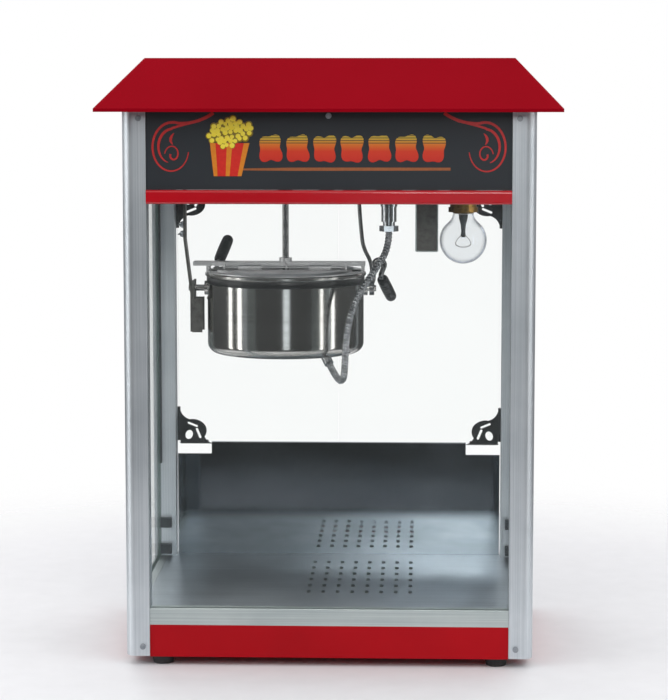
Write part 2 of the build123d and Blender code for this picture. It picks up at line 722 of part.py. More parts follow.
def heater_plate():
    """Cast heating plate pressed under the bowl, with a raised ring for its element."""
    with BuildPart() as plate:
        rod((KETTLE_X, 0, 379), (KETTLE_X, 0, 386), 80)
        rod((KETTLE_X, 0, 374), (KETTLE_X, 0, 379), 66)
        rod((KETTLE_X, 0, 374), (KETTLE_X, 0, 379), 50, Mode.SUBTRACT)
    return plate.part


LID_HINGE_Y = 15.0
LID_HINGE_Z = 479.5
LID_PIN_R = 1.5
LID_EDGE = 16.0


def kettle_crossbar():
    """Channel across the rim that guides the agitator shaft and carries the lid hinge pins."""
    left, right = -180.0, 40.0
    with BuildPart() as bar:
        block((left, right), (-11, 11), (481, 486))
        block((left + 3, right - 3), (-9.5, 9.5), (480, 484.5), Mode.SUBTRACT)
        for x in (KETTLE_X - 101, KETTLE_X + 97):
            block((x, x + 4), (-11, 11), (RIM_Z + 5.5, 484.5))
        rod((KETTLE_X, 0, 484.5), (KETTLE_X, 0, 491), 8)
        rod((KETTLE_X, 0, 480), (KETTLE_X, 0, 492), PIN_R + 0.25, Mode.SUBTRACT)
        for side in (-1, 1):
            y = side * LID_HINGE_Y
            for x in (KETTLE_X - 79, KETTLE_X, KETTLE_X + 76):
                ear = sorted((side * 10, y + side * 2.4))
                block((x, x + 3), ear, (LID_HINGE_Z - 2.4, 484.5))
            rod((KETTLE_X - 79, y, LID_HINGE_Z), (KETTLE_X + 79, y, LID_HINGE_Z), LID_PIN_R)
    return bar.part


def lid_flap(side):
    """Half-round lid flap with two barrels that turn on the crossbar's hinge pins.

    Its straight edge stays outside the hinge line, so that no corner dips into the rim as it lifts.
    """
    y = side * LID_HINGE_Y
    sheet_z = RIM_Z + 5.7
    far_half = 2 * RIM_R
    with BuildPart() as flap:
        with BuildSketch(Plane.XY.offset(sheet_z)):
            with Locations((KETTLE_X, 0)):
                Circle(RIM_R - 1)
            with Locations((KETTLE_X, side * (LID_EDGE - far_half / 2))):
                Rectangle(3 * RIM_R, far_half, mode=Mode.SUBTRACT)
        extrude(amount=1.2)
        with BuildSketch(Plane.XY.offset(sheet_z + 1.2)):
            with Locations((KETTLE_X, 0)):
                Circle(RIM_R - 12)
            with Locations((KETTLE_X, side * (LID_EDGE + 8 - far_half / 2))):
                Rectangle(3 * RIM_R, far_half, mode=Mode.SUBTRACT)
        extrude(amount=2.4, taper=40)
        for x in (KETTLE_X - 60, KETTLE_X + 30):
            ring((x, y, LID_HINGE_Z), (x + 30, y, LID_HINGE_Z), 3, LID_PIN_R + HINGE_FIT)
            outer = y + side * 2
            tab = sorted((outer, outer + side * 5))
            block((x, x + 30), tab, (sheet_z, LID_HINGE_Z - 1))
    return flap.part


def grip(start, end, radius):
    """Moulded hand grip: a round bar with a rounded tip."""
    with BuildPart() as handle:
        rod(start, end, radius)
        tip = handle.edges().sort_by_distance(end)[0]
        fillet(tip, radius * 0.6)
    return handle.part


LID_GRIP = ((-150.0, 26.0, 484.0), (-139.0, 60.0, 514.0))
GRIP_R = 7.5


def lid_grip():
    """Black grip on a short stud that stands on the rear lid flap."""
    return grip(*LID_GRIP, GRIP_R)


def lid_rear():
    """Rear lid flap with the stud that holds its grip."""
    with BuildPart() as flap:
        add(lid_flap(1))
        start = Vector(*LID_GRIP[0])
        along = (Vector(*LID_GRIP[1]) - start).normalized()
        foot = start - along * 9
        rod(tuple(foot), tuple(start), 3)
        block((-156, -148), (15, 27), (RIM_Z + 5.7, RIM_Z + 9))
    return flap.part


TILT_ROD_R = 3.4


def tilt_arm():
    """Bent rod from the kettle's side, over its rim and down to the tilt grip."""
    end = Vector(*TILT_GRIP[0])
    along = (Vector(*TILT_GRIP[1]) - end).normalized()
    lug = (TILT_LUG_X, 29, 455)
    over_rim = ((49, 29, 455), (51, 30, 487), (66, 33, 484))
    return tube((lug, *over_rim, tuple(end - along * 10), tuple(end)), TILT_ROD_R)[0]


def tilt_grip():
    """Black grip on the end of the tilt arm."""
    return grip(*TILT_GRIP, GRIP_R)


def agitator_shaft():
    """Long vertical shaft with a flat tongue on top that fits the drive fork."""
    with BuildPart() as shaft:
        rod((KETTLE_X, 0, 388.5), (KETTLE_X, 0, 572), PIN_R)
        block((KETTLE_X - 1.5, KETTLE_X + 1.5), (-3.6, 3.6), (572, 582))
    return shaft.part


def agitator_blades():
    """Two stirring arms on a hub, low over the bowl's floor."""
    with BuildPart() as blades:
        ring((KETTLE_X, 0, 389), (KETTLE_X, 0, 403), 8, PIN_R)
        for side in (-1, 1):
            block(sorted((KETTLE_X + side * 7, KETTLE_X + side * 80)), (-3, 3), (390, 393))
            block(sorted((KETTLE_X + side * 77, KETTLE_X + side * 80)), (-3, 3), (390, 410))
    return blades.part


# ---- kettle lead --------------------------------------------------------------------------------
FERRULE_END = (-4.0, -57.0, 361.0)
LEAD_ROUTE = (
    (71, -60, 529),
    (71, -60, 508),
    (54, -72, 481),
    (34, -86, 453),
    (22, -95, 422),
    (18, -96, 390),
    (17, -91, 362),
    (15, -83, 343),
    (7, -72, 342),
    FERRULE_END,
)


def lead_connector_bottom():
    """Slanted ferrule under the kettle where the lead goes in."""
    end = Vector(*FERRULE_END)
    along = (end - Vector(*LEAD_ROUTE[-2])).normalized()
    inside = end + along * 24
    with BuildPart() as ferrule:
        rod(tuple(end), tuple(inside), 6)
        block((-60, 40), (-120, 20), (KETTLE_BOTTOM, 420), Mode.SUBTRACT)
    return ferrule.part


def kettle_lead():
    """Armoured lead from the ceiling plug, past the kettle's side to the ferrule under it."""
    lead, length = tube(LEAD_ROUTE, LEAD_R)
    print("lead radii", [round(r, 1) for r in arc_radii(LEAD_ROUTE)], "length", round(length, 1))
    print("lead volume over section times length", round(lead.volume / (pi * LEAD_R**2 * length), 4))
    return lead


# ---- doors --------------------------------------------------------------------------------------
HINGE_SPANS = ((DOOR_BOTTOM, 1), (DOOR_TOP, -1))
LEAF = 2.5
KNUCKLE_R = 4.0
HINGE_PIN_R = 2.0
KNOB_X = 18.0
KNOB_Z = 420.0


def door_pane(side):
    """Clear door pane on the left (-1) or right (+1) half of the rear opening."""
    x = sorted((side * 1.0, side * (IN_X - 2)))
    with BuildPart() as pane:
        block(x, (DOOR_Y, DOOR_Y + GLASS), (DOOR_BOTTOM, DOOR_TOP))
        fillet(pane.edges().filter_by(Axis.Y), 4)
    return pane.part


def door_hinges(side):
    """The two ornamental corner leaves of one door, each with a barrel on the hinge line."""
    edge = IN_X - 3.5
    with BuildPart() as leaves:
        for corner_z, up in HINGE_SPANS:
            corner = (side * edge, HALF_D + LEAF, corner_z)
            plane = Plane(origin=corner, x_dir=(-side, 0, 0), z_dir=(0, side * up, 0))
            flip = 1 if plane.y_dir.Z * up > 0 else -1
            with BuildSketch(plane) as leaf:
                with BuildLine():
                    Polyline((0, 46 * flip), (0, 0), (44, 0))
                    RadiusArc((44, 0), (33, 9 * flip), 16 * flip)
                    RadiusArc((33, 9 * flip), (30, 29 * flip), -14 * flip)
                    RadiusArc((30, 29 * flip), (13, 33 * flip), -22 * flip)
                    RadiusArc((13, 33 * flip), (0, 46 * flip), 18 * flip)
                make_face()
                with Locations((12, 12 * flip)):
                    Ellipse(5, 6.5, rotation=-20 * flip, mode=Mode.SUBTRACT)
                with Locations((25, 14 * flip)):
                    SlotOverall(15, 3.4, rotation=112 * flip, mode=Mode.SUBTRACT)
                with Locations((17, 26 * flip)):
                    SlotOverall(15, 3, rotation=-22 * flip, mode=Mode.SUBTRACT)
            extrude(to_extrude=leaf.sketch, amount=LEAF if plane.z_dir.Y < 0 else -LEAF)
            barrel = sorted((corner_z + up * 15, corner_z + up * 39))
            web = sorted((side * HINGE_X, side * edge))
            block(web, (HALF_D + 0.4, HALF_D + LEAF), barrel)
            barrel_end = (side * HINGE_X, HINGE_Y, barrel[1])
            rod((side * HINGE_X, HINGE_Y, barrel[0]), barrel_end, KNUCKLE_R)
        for corner_z, up in HINGE_SPANS:
            hole = sorted((corner_z + up * 10, corner_z + up * 44))
            start = (side * HINGE_X, HINGE_Y, hole[0])
            rod(start, (side * HINGE_X, HINGE_Y, hole[1]), HINGE_PIN_R, Mode.SUBTRACT)
    return leaves.part


def hinge_post_leaves():
    """Fixed hinge leaves on the rear posts, each with two barrels and the pin between them."""
    with BuildPart() as leaves:
        for side, (corner_z, up) in product((-1, 1), HINGE_SPANS):
            plate_x = sorted((side * 226, side * 244))
            plate_z = sorted((corner_z + up * 2, corner_z + up * 52))
            block(plate_x, (HALF_D, HALF_D + 2), plate_z)
            for low, high in ((4, 14.7), (39.3, 50)):
                knuckle = sorted((corner_z + up * low, corner_z + up * high))
                web_x = sorted((side * HINGE_X, side * 228))
                block(web_x, (HALF_D + 0.6, HALF_D + 3), knuckle)
                knuckle_end = (side * HINGE_X, HINGE_Y, knuckle[1])
                rod((side * HINGE_X, HINGE_Y, knuckle[0]), knuckle_end, KNUCKLE_R)
            pin = sorted((corner_z + up * 4, corner_z + up * 50))
            start = (side * HINGE_X, HINGE_Y, pin[0])
            rod(start, (side * HINGE_X, HINGE_Y, pin[1]), HINGE_PIN_R - HINGE_FIT)
    return leaves.part


def door_knob(side):
    """Round knob near the meeting edge of one door."""
    x = side * KNOB_X
    with BuildPart() as knob:
        rod((x, HALF_D, KNOB_Z), (x, HALF_D + 9, KNOB_Z), 4)
        rod((x, HALF_D + 8, KNOB_Z), (x, HALF_D + 20, KNOB_Z), 9)
        fillet(knob.faces().filter_by(Axis.Y).sort_by(Axis.Y)[-1].edges(), 3)
    return knob.part


def door_catches():
    """Two magnet blocks under the ceiling plate that hold the doors shut."""
    with BuildPart() as catches:
        for side in (-1, 1):
            x = sorted((side * 6, side * 26))
            block(x, (163, DOOR_Y - 0.3), (557, CEILING_Z))
    return catches.part


def crumb_drawer():
    """Folded steel drawer under the slotted floor, with a front plate and a finger lip."""
    wall = 1.2
    low, high = 13.0, 46.0
    inner_x = (DRAWER_X[0] + wall, DRAWER_X[1] - wall)
    inner_y = (DRAWER_Y[0] + wall, DRAWER_Y[1] - wall)
    with BuildPart() as drawer:
        block(DRAWER_X, DRAWER_Y, (low, high))
        block(inner_x, inner_y, (low + wall, high + 1), Mode.SUBTRACT)
        block((DRAWER_X[0] - 6, DRAWER_X[1] + 6), (HALF_D - 1.5, HALF_D), (low, 49.5))
        block((DRAWER_X[0], DRAWER_X[1]), (HALF_D - 2.5, HALF_D - 1), (low, high))
        block((0, 70), (HALF_D, HALF_D + 16), (44, 45.5))
        block((0, 70), (HALF_D + 14.5, HALF_D + 16), (37, 45.5))
    return drawer.part


# ---- write every piece --------------------------------------------------------------------------
SIDES = {"left": -1, "right": 1}
ENDS = {"front": -1, "rear": 1}

for (end, side_y), (side, side_x) in product(ENDS.items(), SIDES.items()):
    write(corner_post(side_x, side_y), f"post_{end}_{side}")

for side, sign in SIDES.items():
    write(door_pane(sign), f"door_{side}")
    write(door_hinges(sign), f"door_hinges_{side}")
    write(door_knob(sign), f"door_knob_{side}")

for use, switch_x in zip(("heat", "motor", "light"), SWITCH_X):
    write(rocker(switch_x), f"rocker_{use}")

write(lid_flap(-1), "lid_front")

SINGLE_PIECES = (
    base_box, feet, rail_front, side_rails, rail_rear, floor_plate,
    front_glass, side_glass, glazing_gaskets, rear_panel,
    ceiling_plate, header_trim, sign_panel, side_panels, switch_panel, switch_bezels,
    roof, frame_screws, gearbox, motor, drive_coupling,
    lamp_socket, lamp_bulb, lamp_shield, kettle_socket, cable_gland,
    kettle_arm_left, wing_nuts, pivot_bracket, kettle_arm_right,
    kettle_shell, kettle_pot, heater_plate, kettle_crossbar, lid_rear, lid_grip,
    tilt_arm, tilt_grip, agitator_shaft, agitator_blades,
    lead_connector_top, lead_connector_bottom, kettle_lead,
    hinge_post_leaves, door_catches, crumb_drawer,
)

for make in SINGLE_PIECES:
    write(make(), make.__name__)
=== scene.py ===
# %% [markdown]
# # A countertop popcorn maker
#
# This lesson dresses a finished CAD model of a popcorn maker: a glazed cabinet on a red base, with a
# steel kettle that hangs under a red roof. The CAD nodes hold every true shape and size. Here they get
# their finishes, and the parts that CAD only hints at get real forms: the armoured lead, the ribbed
# grips, the printed sign, the rivets and the lamp's filament.

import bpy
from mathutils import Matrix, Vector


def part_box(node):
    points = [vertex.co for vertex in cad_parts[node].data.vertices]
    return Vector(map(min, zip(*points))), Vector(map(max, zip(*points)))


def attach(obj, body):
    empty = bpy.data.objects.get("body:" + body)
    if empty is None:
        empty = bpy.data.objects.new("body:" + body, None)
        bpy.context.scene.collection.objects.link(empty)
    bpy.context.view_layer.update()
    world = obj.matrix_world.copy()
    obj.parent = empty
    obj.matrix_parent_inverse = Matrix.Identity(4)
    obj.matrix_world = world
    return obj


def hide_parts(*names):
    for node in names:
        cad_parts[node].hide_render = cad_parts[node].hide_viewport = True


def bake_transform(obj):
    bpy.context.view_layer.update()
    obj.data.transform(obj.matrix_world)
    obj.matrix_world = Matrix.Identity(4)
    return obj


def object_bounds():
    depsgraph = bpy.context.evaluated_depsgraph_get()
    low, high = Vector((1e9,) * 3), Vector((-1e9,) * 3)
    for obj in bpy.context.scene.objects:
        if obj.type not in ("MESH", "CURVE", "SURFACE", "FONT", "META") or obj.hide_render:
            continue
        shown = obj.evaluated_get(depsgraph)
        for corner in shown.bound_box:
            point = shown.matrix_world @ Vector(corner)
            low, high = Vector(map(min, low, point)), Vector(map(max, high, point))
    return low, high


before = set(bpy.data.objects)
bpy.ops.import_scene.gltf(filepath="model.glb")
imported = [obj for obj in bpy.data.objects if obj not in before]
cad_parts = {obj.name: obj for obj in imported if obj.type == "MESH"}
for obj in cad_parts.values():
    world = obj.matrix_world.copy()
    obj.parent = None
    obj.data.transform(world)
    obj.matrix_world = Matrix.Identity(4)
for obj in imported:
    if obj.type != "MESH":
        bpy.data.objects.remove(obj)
cad_low, cad_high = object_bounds()
print("CAD box", tuple(cad_low), tuple(cad_high))

# %% [markdown]
# ## Units and small helpers
#
# Blender works in metres and a maker of small machines thinks in millimetres, so one name turns one
# into the other. Colours are easiest to judge as display values from 0 to 255, while shaders want
# linear light, so a short function converts them.

# %% Units and colours
import math
import random

import bmesh
import bpy
import numpy as np
from mathutils import Vector

MM = 0.001
random.seed(11)


def colour(red, green, blue):
    """Display values from 0 to 255 as a linear colour with full alpha."""
    shares = [value / 255 for value in (red, green, blue)]
    linear = [((v + 0.055) / 1.055) ** 2.4 if v > 10 / 255 else v / 12.92 for v in shares]
    return (*linear, 1.0)


print("enamel red in linear light", [round(v, 3) for v in colour(160, 0, 24)])

# %% [markdown]
# ## The camera
#
# The machine is seen almost square on, from a little to the right and from a little above, through a
# long lens that keeps the posts parallel. Aiming at the middle of the box with no shift keeps every
# other view of the scene simple. The distance gives the perspective and the lens gives the size.

# %% Place the camera
CAMERA_AZIMUTH = math.radians(2.1)
CAMERA_ELEVATION = math.radians(6.6)
CAMERA_DISTANCE = 3.1
CAMERA_LENS = 124.0

centre = (cad_low + cad_high) / 2
away = Vector((
    math.sin(CAMERA_AZIMUTH) * math.cos(CAMERA_ELEVATION),
    -math.cos(CAMERA_AZIMUTH) * math.cos(CAMERA_ELEVATION),
    math.sin(CAMERA_ELEVATION),
))
camera = bpy.data.objects.new("camera", bpy.data.cameras.new("camera"))
camera.data.lens = CAMERA_LENS
camera.location = centre + away * CAMERA_DISTANCE
camera.rotation_euler = away.to_track_quat("Z", "Y").to_euler()
bpy.context.collection.objects.link(camera)
bpy.context.scene.camera = camera
print("camera at", tuple(round(v, 3) for v in camera.location))

# %% [markdown]
# ## Shader sums in plain Python
#
# A finish is a web of nodes, and most of them only add or multiply numbers. Wrapping a socket in a
# small class lets Python's own operators add those Math nodes, so `0.3 + 0.1 * grain` reads as what
# it means. Every other kind of node comes from one method: the node's type, its settings, and what
# goes into its sockets.

# %% The socket class
class Value:
    """One output socket that takes part in Python sums."""

    def __init__(self, finish, socket):
        self.finish = finish
        self.socket = socket

    def out(self, name):
        """Another output of the same node."""
        return Value(self.finish, self.socket.node.outputs[name])

    def __add__(self, other):
        return self.finish.math("ADD", self, other)

    def __sub__(self, other):
        return self.finish.math("SUBTRACT", self, other)

    def __rsub__(self, other):
        return self.finish.math("SUBTRACT", other, self)

    def __mul__(self, other):
        return self.finish.math("MULTIPLY", self, other)

    def __truediv__(self, other):
        return self.finish.math("DIVIDE", self, other)

    def __pow__(self, other):
        return self.finish.math("POWER", self, other)

    __radd__ = __add__
    __rmul__ = __mul__


print("sockets can be added, subtracted, multiplied, divided and raised")

# %% The finish builder
class Finish:
    """A material being made: a node tree, its coordinates and a method that adds any node."""

    def __init__(self, name, tree=None):
        if tree is None:
            self.material = bpy.data.materials.new(name)
            self.material.use_nodes = True
            tree = self.material.node_tree
        self.tree = tree
        self.tree.nodes.clear()
        self.coordinates = self.node("ShaderNodeTexCoord")
        self.place = self.coordinates.out("Object")
        self.facing = self.coordinates.out("Normal")

    def node(self, kind, settings=None, sockets=None):
        """Adds one node. Settings come first, because some of them change the sockets."""
        node = self.tree.nodes.new(kind)
        for key, value in (settings or {}).items():
            if key == "stops":
                self.set_stops(node.color_ramp, value)
            else:
                setattr(node, key, value)
        for key, value in (sockets or {}).items():
            self.feed(node.inputs[key], value)
        return Value(self, node.outputs[0]) if len(node.outputs) else node

    def set_stops(self, ramp, stops):
        """The stops of a colour ramp, as (position, colour) pairs."""
        while len(ramp.elements) < len(stops):
            ramp.elements.new(1.0)
        for element, (position, shade) in zip(ramp.elements, stops):
            element.position = position
            element.color = shade

    def feed(self, socket, value):
        """Links a Value to a socket, or sets a plain number or colour on it."""
        if isinstance(value, Value):
            self.tree.links.new(value.socket, socket)
        else:
            socket.default_value = value

    def math(self, operation, *terms):
        """A Math node with its terms in order."""
        return self.node("ShaderNodeMath", {"operation": operation}, dict(enumerate(terms)))

    def axis(self, name, vector=None):
        """One coordinate of a vector as a number."""
        return self.node("ShaderNodeSeparateXYZ", None, {0: vector or self.place}).out(name)

    def blend(self, mask, low, high):
        """A colour between two, by a mask from 0 to 1. Each is a link or three display values."""
        low, high = [end if isinstance(end, Value) else colour(*end) for end in (low, high)]
        return self.node("ShaderNodeMix", {"data_type": "RGBA"}, {0: mask, 6: low, 7: high}).out(2)

    def between(self, value, low, high):
        """0 where value is at low, 1 where it is at high, and smooth in between."""
        settings = {"interpolation_type": "SMOOTHSTEP"}
        return self.node("ShaderNodeMapRange", settings, {0: value, 1: low, 2: high})

    def noise(self, stretch, detail=3.0, roughness=0.55):
        """Soft noise with so many grains a metre along each axis."""
        sockets = {0: self.place, 1: stretch}
        scaled = self.node("ShaderNodeVectorMath", {"operation": "MULTIPLY"}, sockets)
        sockets = {"Vector": scaled, "Scale": 1.0, "Detail": detail, "Roughness": roughness}
        return self.node("ShaderNodeTexNoise", None, sockets)

    def bump(self, height, depth, strength):
        """A normal for a relief of that depth in metres."""
        sockets = {"Strength": strength, "Distance": depth, "Height": height}
        return self.node("ShaderNodeBump", None, sockets)

    def shader(self, sockets):
        return self.node("ShaderNodeBsdfPrincipled", None, sockets)

    def done(self, surface):
        """Joins the shader to the output and gives the finished material."""
        self.node("ShaderNodeOutputMaterial", None, {"Surface": surface})
        return self.material


print("finish tools ready")

# %% [markdown]
# ## Red enamel
#
# The roof, the base and the header trim are sheet steel with a baked red enamel. Real enamel is never
# one flat red: it pools a little, it has the fine ripple that painters call orange peel, and handling
# leaves it a touch duller here and there. A slow noise moves the colour and the gloss, and a fine one
# makes the ripple. On the trim a clear coat adds a sharp second highlight.

# %% Enamel
def enamel(name, deep, fresh, gloss, shine, coat):
    """Baked enamel from a deep to a fresh red. Gloss is its lowest roughness, shine its reflection."""
    finish = Finish(name)
    pooling = finish.noise((7, 7, 5), 4)
    handling = finish.noise((28, 22, 40), 5, 0.7)
    ripple = finish.noise((420, 420, 420), 2)
    return finish.done(finish.shader({
        "Base Color": finish.blend(pooling, deep, fresh),
        "Roughness": gloss + 0.16 * handling ** 2.0,
        "Specular IOR Level": shine,
        "Coat Weight": coat,
        "Coat Roughness": 0.08,
        "Normal": finish.bump(ripple, 0.00012, 0.35),
    }))


roof_red = enamel("roof_enamel", (142, 0, 17), (160, 0, 24), 0.46, 0.04, 0.0)
base_red = enamel("base_enamel", (150, 1, 14), (186, 6, 22), 0.34, 0.14, 0.0)
trim_red = enamel("trim_enamel", (176, 2, 20), (206, 8, 30), 0.16, 0.5, 0.6)
print("enamel finishes", roof_red.name, base_red.name, trim_red.name)

# %% [markdown]
# ## Drawn aluminium and brushed steel
#
# The posts and rails are drawn through a die and then anodised, which leaves long fine lines along
# their length and a silky grey. Brushed and spun steel has the same kind of lines, only in another
# direction. One recipe serves them all: a noise that is stretched hard along the lines moves the
# colour and the roughness and cuts a shallow relief, and a slow noise adds cloudy handling marks.

# %% Metals with a grain
ALONG_X = (3, 900, 900)
ALONG_Y = (900, 3, 900)
ALONG_Z = (900, 900, 3)
ROUND_THE_KETTLE = (2, 2, 1300)
NO_GRAIN = (160, 160, 160)


def grained_metal(name, grain, dark, light, gloss, spread, relief=0.00002):
    """Metal with fine lines. Gloss is its lowest roughness and spread is how far the lines raise it."""
    finish = Finish(name)
    lines = finish.noise(grain, 3, 0.6)
    clouds = finish.noise((9, 9, 9), 4, 0.6)
    tone = finish.between(0.6 * lines + 0.4 * clouds, 0.34, 0.66)
    return finish.done(finish.shader({
        "Base Color": finish.blend(tone, dark, light),
        "Metallic": 1.0,
        "Roughness": gloss + spread * (0.5 * lines + 0.5 * clouds),
        "Normal": finish.bump(lines, relief, 0.5),
    }))


post_aluminium = grained_metal("post_aluminium", ALONG_Z, (198, 205, 210), (223, 228, 232), 0.36, 0.16)
rail_aluminium = grained_metal("rail_aluminium", ALONG_X, (180, 190, 190), (206, 214, 212), 0.32, 0.16)
side_aluminium = grained_metal("side_aluminium", ALONG_Y, (170, 178, 180), (196, 202, 202), 0.3, 0.16)
floor_steel = grained_metal("floor_steel", ALONG_X, (172, 180, 186), (200, 208, 214), 0.24, 0.16)
sheet_steel = grained_metal("sheet_steel", ALONG_X, (160, 164, 168), (190, 194, 196), 0.24, 0.16)
dark_sheet = grained_metal("dark_sheet", NO_GRAIN, (100, 98, 94), (124, 122, 118), 0.34, 0.12)
spun_steel = grained_metal("spun_steel", ROUND_THE_KETTLE, (170, 168, 164), (206, 204, 200), 0.09, 0.07)
lid_steel = grained_metal("lid_steel", ALONG_X, (196, 196, 196), (222, 222, 222), 0.36, 0.14)
bright_rod = grained_metal("bright_rod", NO_GRAIN, (112, 112, 112), (156, 156, 156), 0.18, 0.12)
hose_steel = grained_metal("hose_steel", NO_GRAIN, (104, 106, 108), (192, 193, 195), 0.13, 0.14)
chrome = grained_metal("chrome", NO_GRAIN, (196, 198, 202), (226, 228, 230), 0.06, 0.07)
zinc = grained_metal("zinc_screw", NO_GRAIN, (140, 146, 152), (180, 184, 190), 0.3, 0.15)
cast_metal = grained_metal("cast_metal", NO_GRAIN, (120, 122, 124), (160, 162, 164), 0.42, 0.2, 0.0002)
lamp_brass = grained_metal("lamp_brass", NO_GRAIN, (150, 112, 56), (196, 158, 92), 0.22, 0.14)
print("finishes so far", len(bpy.data.materials))

# %% [markdown]
# ## The mirror panel and the seasoned bowl
#
# Two steels need more than lines. The rear panel is polished until it mirrors the cabinet floor, and
# it shows wipe marks and a soft haze. High on its face that looks to the front it is painted dark, a
# painted dark reflection. The bowl has cooked oil and sugar for years, so its floor is straw and
# brown, and the colour fades out up the wall.

# %% Mirror steel and seasoned steel
# Heights where the painted shade on the rear panel's front face begins and where it is full.
DARK_REFLECTION_STARTS, DARK_REFLECTION_FULL = 0.122, 0.142


def mirror_steel():
    """Polished sheet with wipe marks, and a painted dark reflection high on the face that looks to the
    front.
    """
    finish = Finish("mirror_steel")
    wipes = finish.noise((5, 5, 14), 5, 0.65)
    dents = finish.noise((11, 11, 11), 2)
    height = finish.axis("Z") + 0.012 * wipes
    inside = finish.between(finish.axis("Y", finish.facing), 0.0, -0.5)
    # Painted shade: high on the face that looks to the front the steel turns dark, standing in for a dark
    # reflection.
    painted_dark_reflection = inside * finish.between(height, DARK_REFLECTION_STARTS, DARK_REFLECTION_FULL)
    streaks = finish.between(wipes, 0.35, 0.7)
    clean = finish.blend(streaks, (150, 158, 164), (182, 189, 194))
    # The dark steel colour of the painted reflection.
    painted_dark_steel = finish.blend(streaks, (58, 64, 70), (80, 86, 92))
    return finish.done(finish.shader({
        "Base Color": finish.blend(painted_dark_reflection, clean, painted_dark_steel),
        "Metallic": 1.0,
        "Roughness": 0.05 + 0.12 * finish.between(wipes, 0.45, 0.8),
        "Normal": finish.bump(dents, 0.0012, 0.25),
    }))


def seasoned_steel():
    """Steel that is brown on the bowl's floor and turns grey up its wall."""
    finish = Finish("seasoned_steel")
    bowl_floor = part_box("kettle_pot")[0].z
    stains = finish.noise((60, 60, 45), 5, 0.7)
    height = finish.between(finish.axis("Z") + 0.03 * stains, bowl_floor + 0.01, bowl_floor + 0.07)
    return finish.done(finish.shader({
        "Base Color": finish.blend(height, (112, 78, 44), (184, 182, 178)),
        "Metallic": 1.0,
        "Roughness": 0.42 - 0.26 * height + 0.14 * stains,
        "Normal": finish.bump(stains, 0.0002, 0.3),
    }))


rear_mirror = mirror_steel()
bowl_steel = seasoned_steel()
print("special steels", rear_mirror.name, bowl_steel.name)

# %% [markdown]
# ## Iron, plastic and rubber
#
# These reflect little of their surroundings, so their interest is in the grain of the surface: the
# hinges are black japanned iron with cast pits, the grips and bezels are moulded plastic with a fine
# spark-eroded texture, and the feet and gaskets are rubber with a dusty bloom.

# %% Moulded and cast finishes
def moulded(name, dark, light, gloss, grain_size, relief, coat=0.0):
    """A non-metal with a fine skin: grains a metre, relief in metres, and an optional clear coat."""
    finish = Finish(name)
    skin = finish.noise((grain_size,) * 3, 3, 0.6)
    bloom = finish.noise((35, 35, 35), 4, 0.7)
    return finish.done(finish.shader({
        "Base Color": finish.blend(finish.between(bloom, 0.3, 0.75), dark, light),
        "Roughness": gloss + 0.22 * bloom,
        "Coat Weight": coat,
        "Coat Roughness": 0.1,
        "Normal": finish.bump(skin, relief, 0.5),
    }))


black_iron = moulded("black_iron", (14, 14, 16), (34, 34, 38), 0.24, 700, 0.00015, 0.4)
grip_black = moulded("grip_black", (16, 16, 18), (36, 36, 40), 0.3, 1500, 0.00006)
bezel_black = moulded("bezel_black", (18, 18, 20), (34, 34, 36), 0.38, 1800, 0.00005)
rocker_red = moulded("rocker_red", (150, 8, 8), (190, 20, 16), 0.14, 1200, 0.00002, 0.6)
foot_rubber = moulded("foot_rubber", (22, 22, 24), (52, 52, 54), 0.55, 900, 0.0001)
gasket_rubber = moulded("gasket_rubber", (34, 38, 42), (64, 70, 76), 0.5, 900, 0.0001)
# Black for the ring under the kettle's rim, which is painted shade for the shadow there.
rim_shadow_black = moulded("rim_shadow_black", (10, 10, 11), (22, 22, 24), 0.26, 600, 0.00004, 0.1)
mark_white = moulded("mark_white", (214, 214, 210), (236, 236, 232), 0.4, 1500, 0.00002)
print("finishes so far", len(bpy.data.materials))

# %% [markdown]
# ## Clear panes and the lamp's glass
#
# A pane of glass is nearly invisible face on and turns into a mirror at a glancing angle, and its cut
# edge is green because light runs a long way through it there. A thick refracting solid would cost
# many light bounces, so the pane mixes a Transparent shader with a sharp gloss by Fresnel. The
# object's own normal tells the faces from the edges.

# %% Glass
GLASS_INDEX = 1.48
CLEAR_PANE = (0.994, 0.998, 0.996, 1.0)
CLEAR_BULB = (0.98, 0.985, 0.99, 1.0)


def pane_glass(name, face_axis, tint, edge_tint, edge_share):
    """Clear sheet whose large faces look along face_axis. Its cut edge shows by edge_share."""
    finish = Finish(name)
    smears = finish.noise((14, 14, 14), 4, 0.7)
    face_on = finish.math("ABSOLUTE", finish.axis(face_axis, finish.facing))
    edge = 1 - finish.between(face_on, 0.3, 0.8)
    mirror = finish.node("ShaderNodeFresnel", None, {"IOR": GLASS_INDEX})
    skin = finish.shader({
        "Base Color": finish.blend(edge, tint, edge_tint),
        "Roughness": 0.02 + 0.1 * smears ** 3.0,
        "Specular IOR Level": 0.5,
        "Coat Weight": 0.6,
        "Coat Roughness": 0.02,
    })
    clear = finish.node("ShaderNodeBsdfTransparent", None, {"Color": CLEAR_PANE})
    capped_sum = {"operation": "ADD", "use_clamp": True}
    face_share = mirror * 0.32 + 0.012 * smears
    share = finish.node("ShaderNodeMath", capped_sum, {0: face_share, 1: edge * edge_share})
    return finish.done(finish.node("ShaderNodeMixShader", None, {0: share, 1: clear, 2: skin}))


def bulb_glass(name, tint, metal, face_share, rim_share):
    """Thin blown glass: face_share of it shows face on and rim_share more towards its outline."""
    finish = Finish(name)
    rim = finish.node("ShaderNodeLayerWeight", None, {"Blend": 0.32}).out("Facing")
    skin = finish.shader({
        "Base Color": colour(*tint),
        "Metallic": metal,
        "Roughness": 0.03 + 0.02 * finish.noise((60, 60, 60)),
    })
    clear = finish.node("ShaderNodeBsdfTransparent", None, {"Color": CLEAR_BULB})
    share = finish.between(rim, 0.25, 1.1) * rim_share + face_share
    return finish.done(finish.node("ShaderNodeMixShader", None, {0: share, 1: clear, 2: skin}))


print("glass recipes ready")

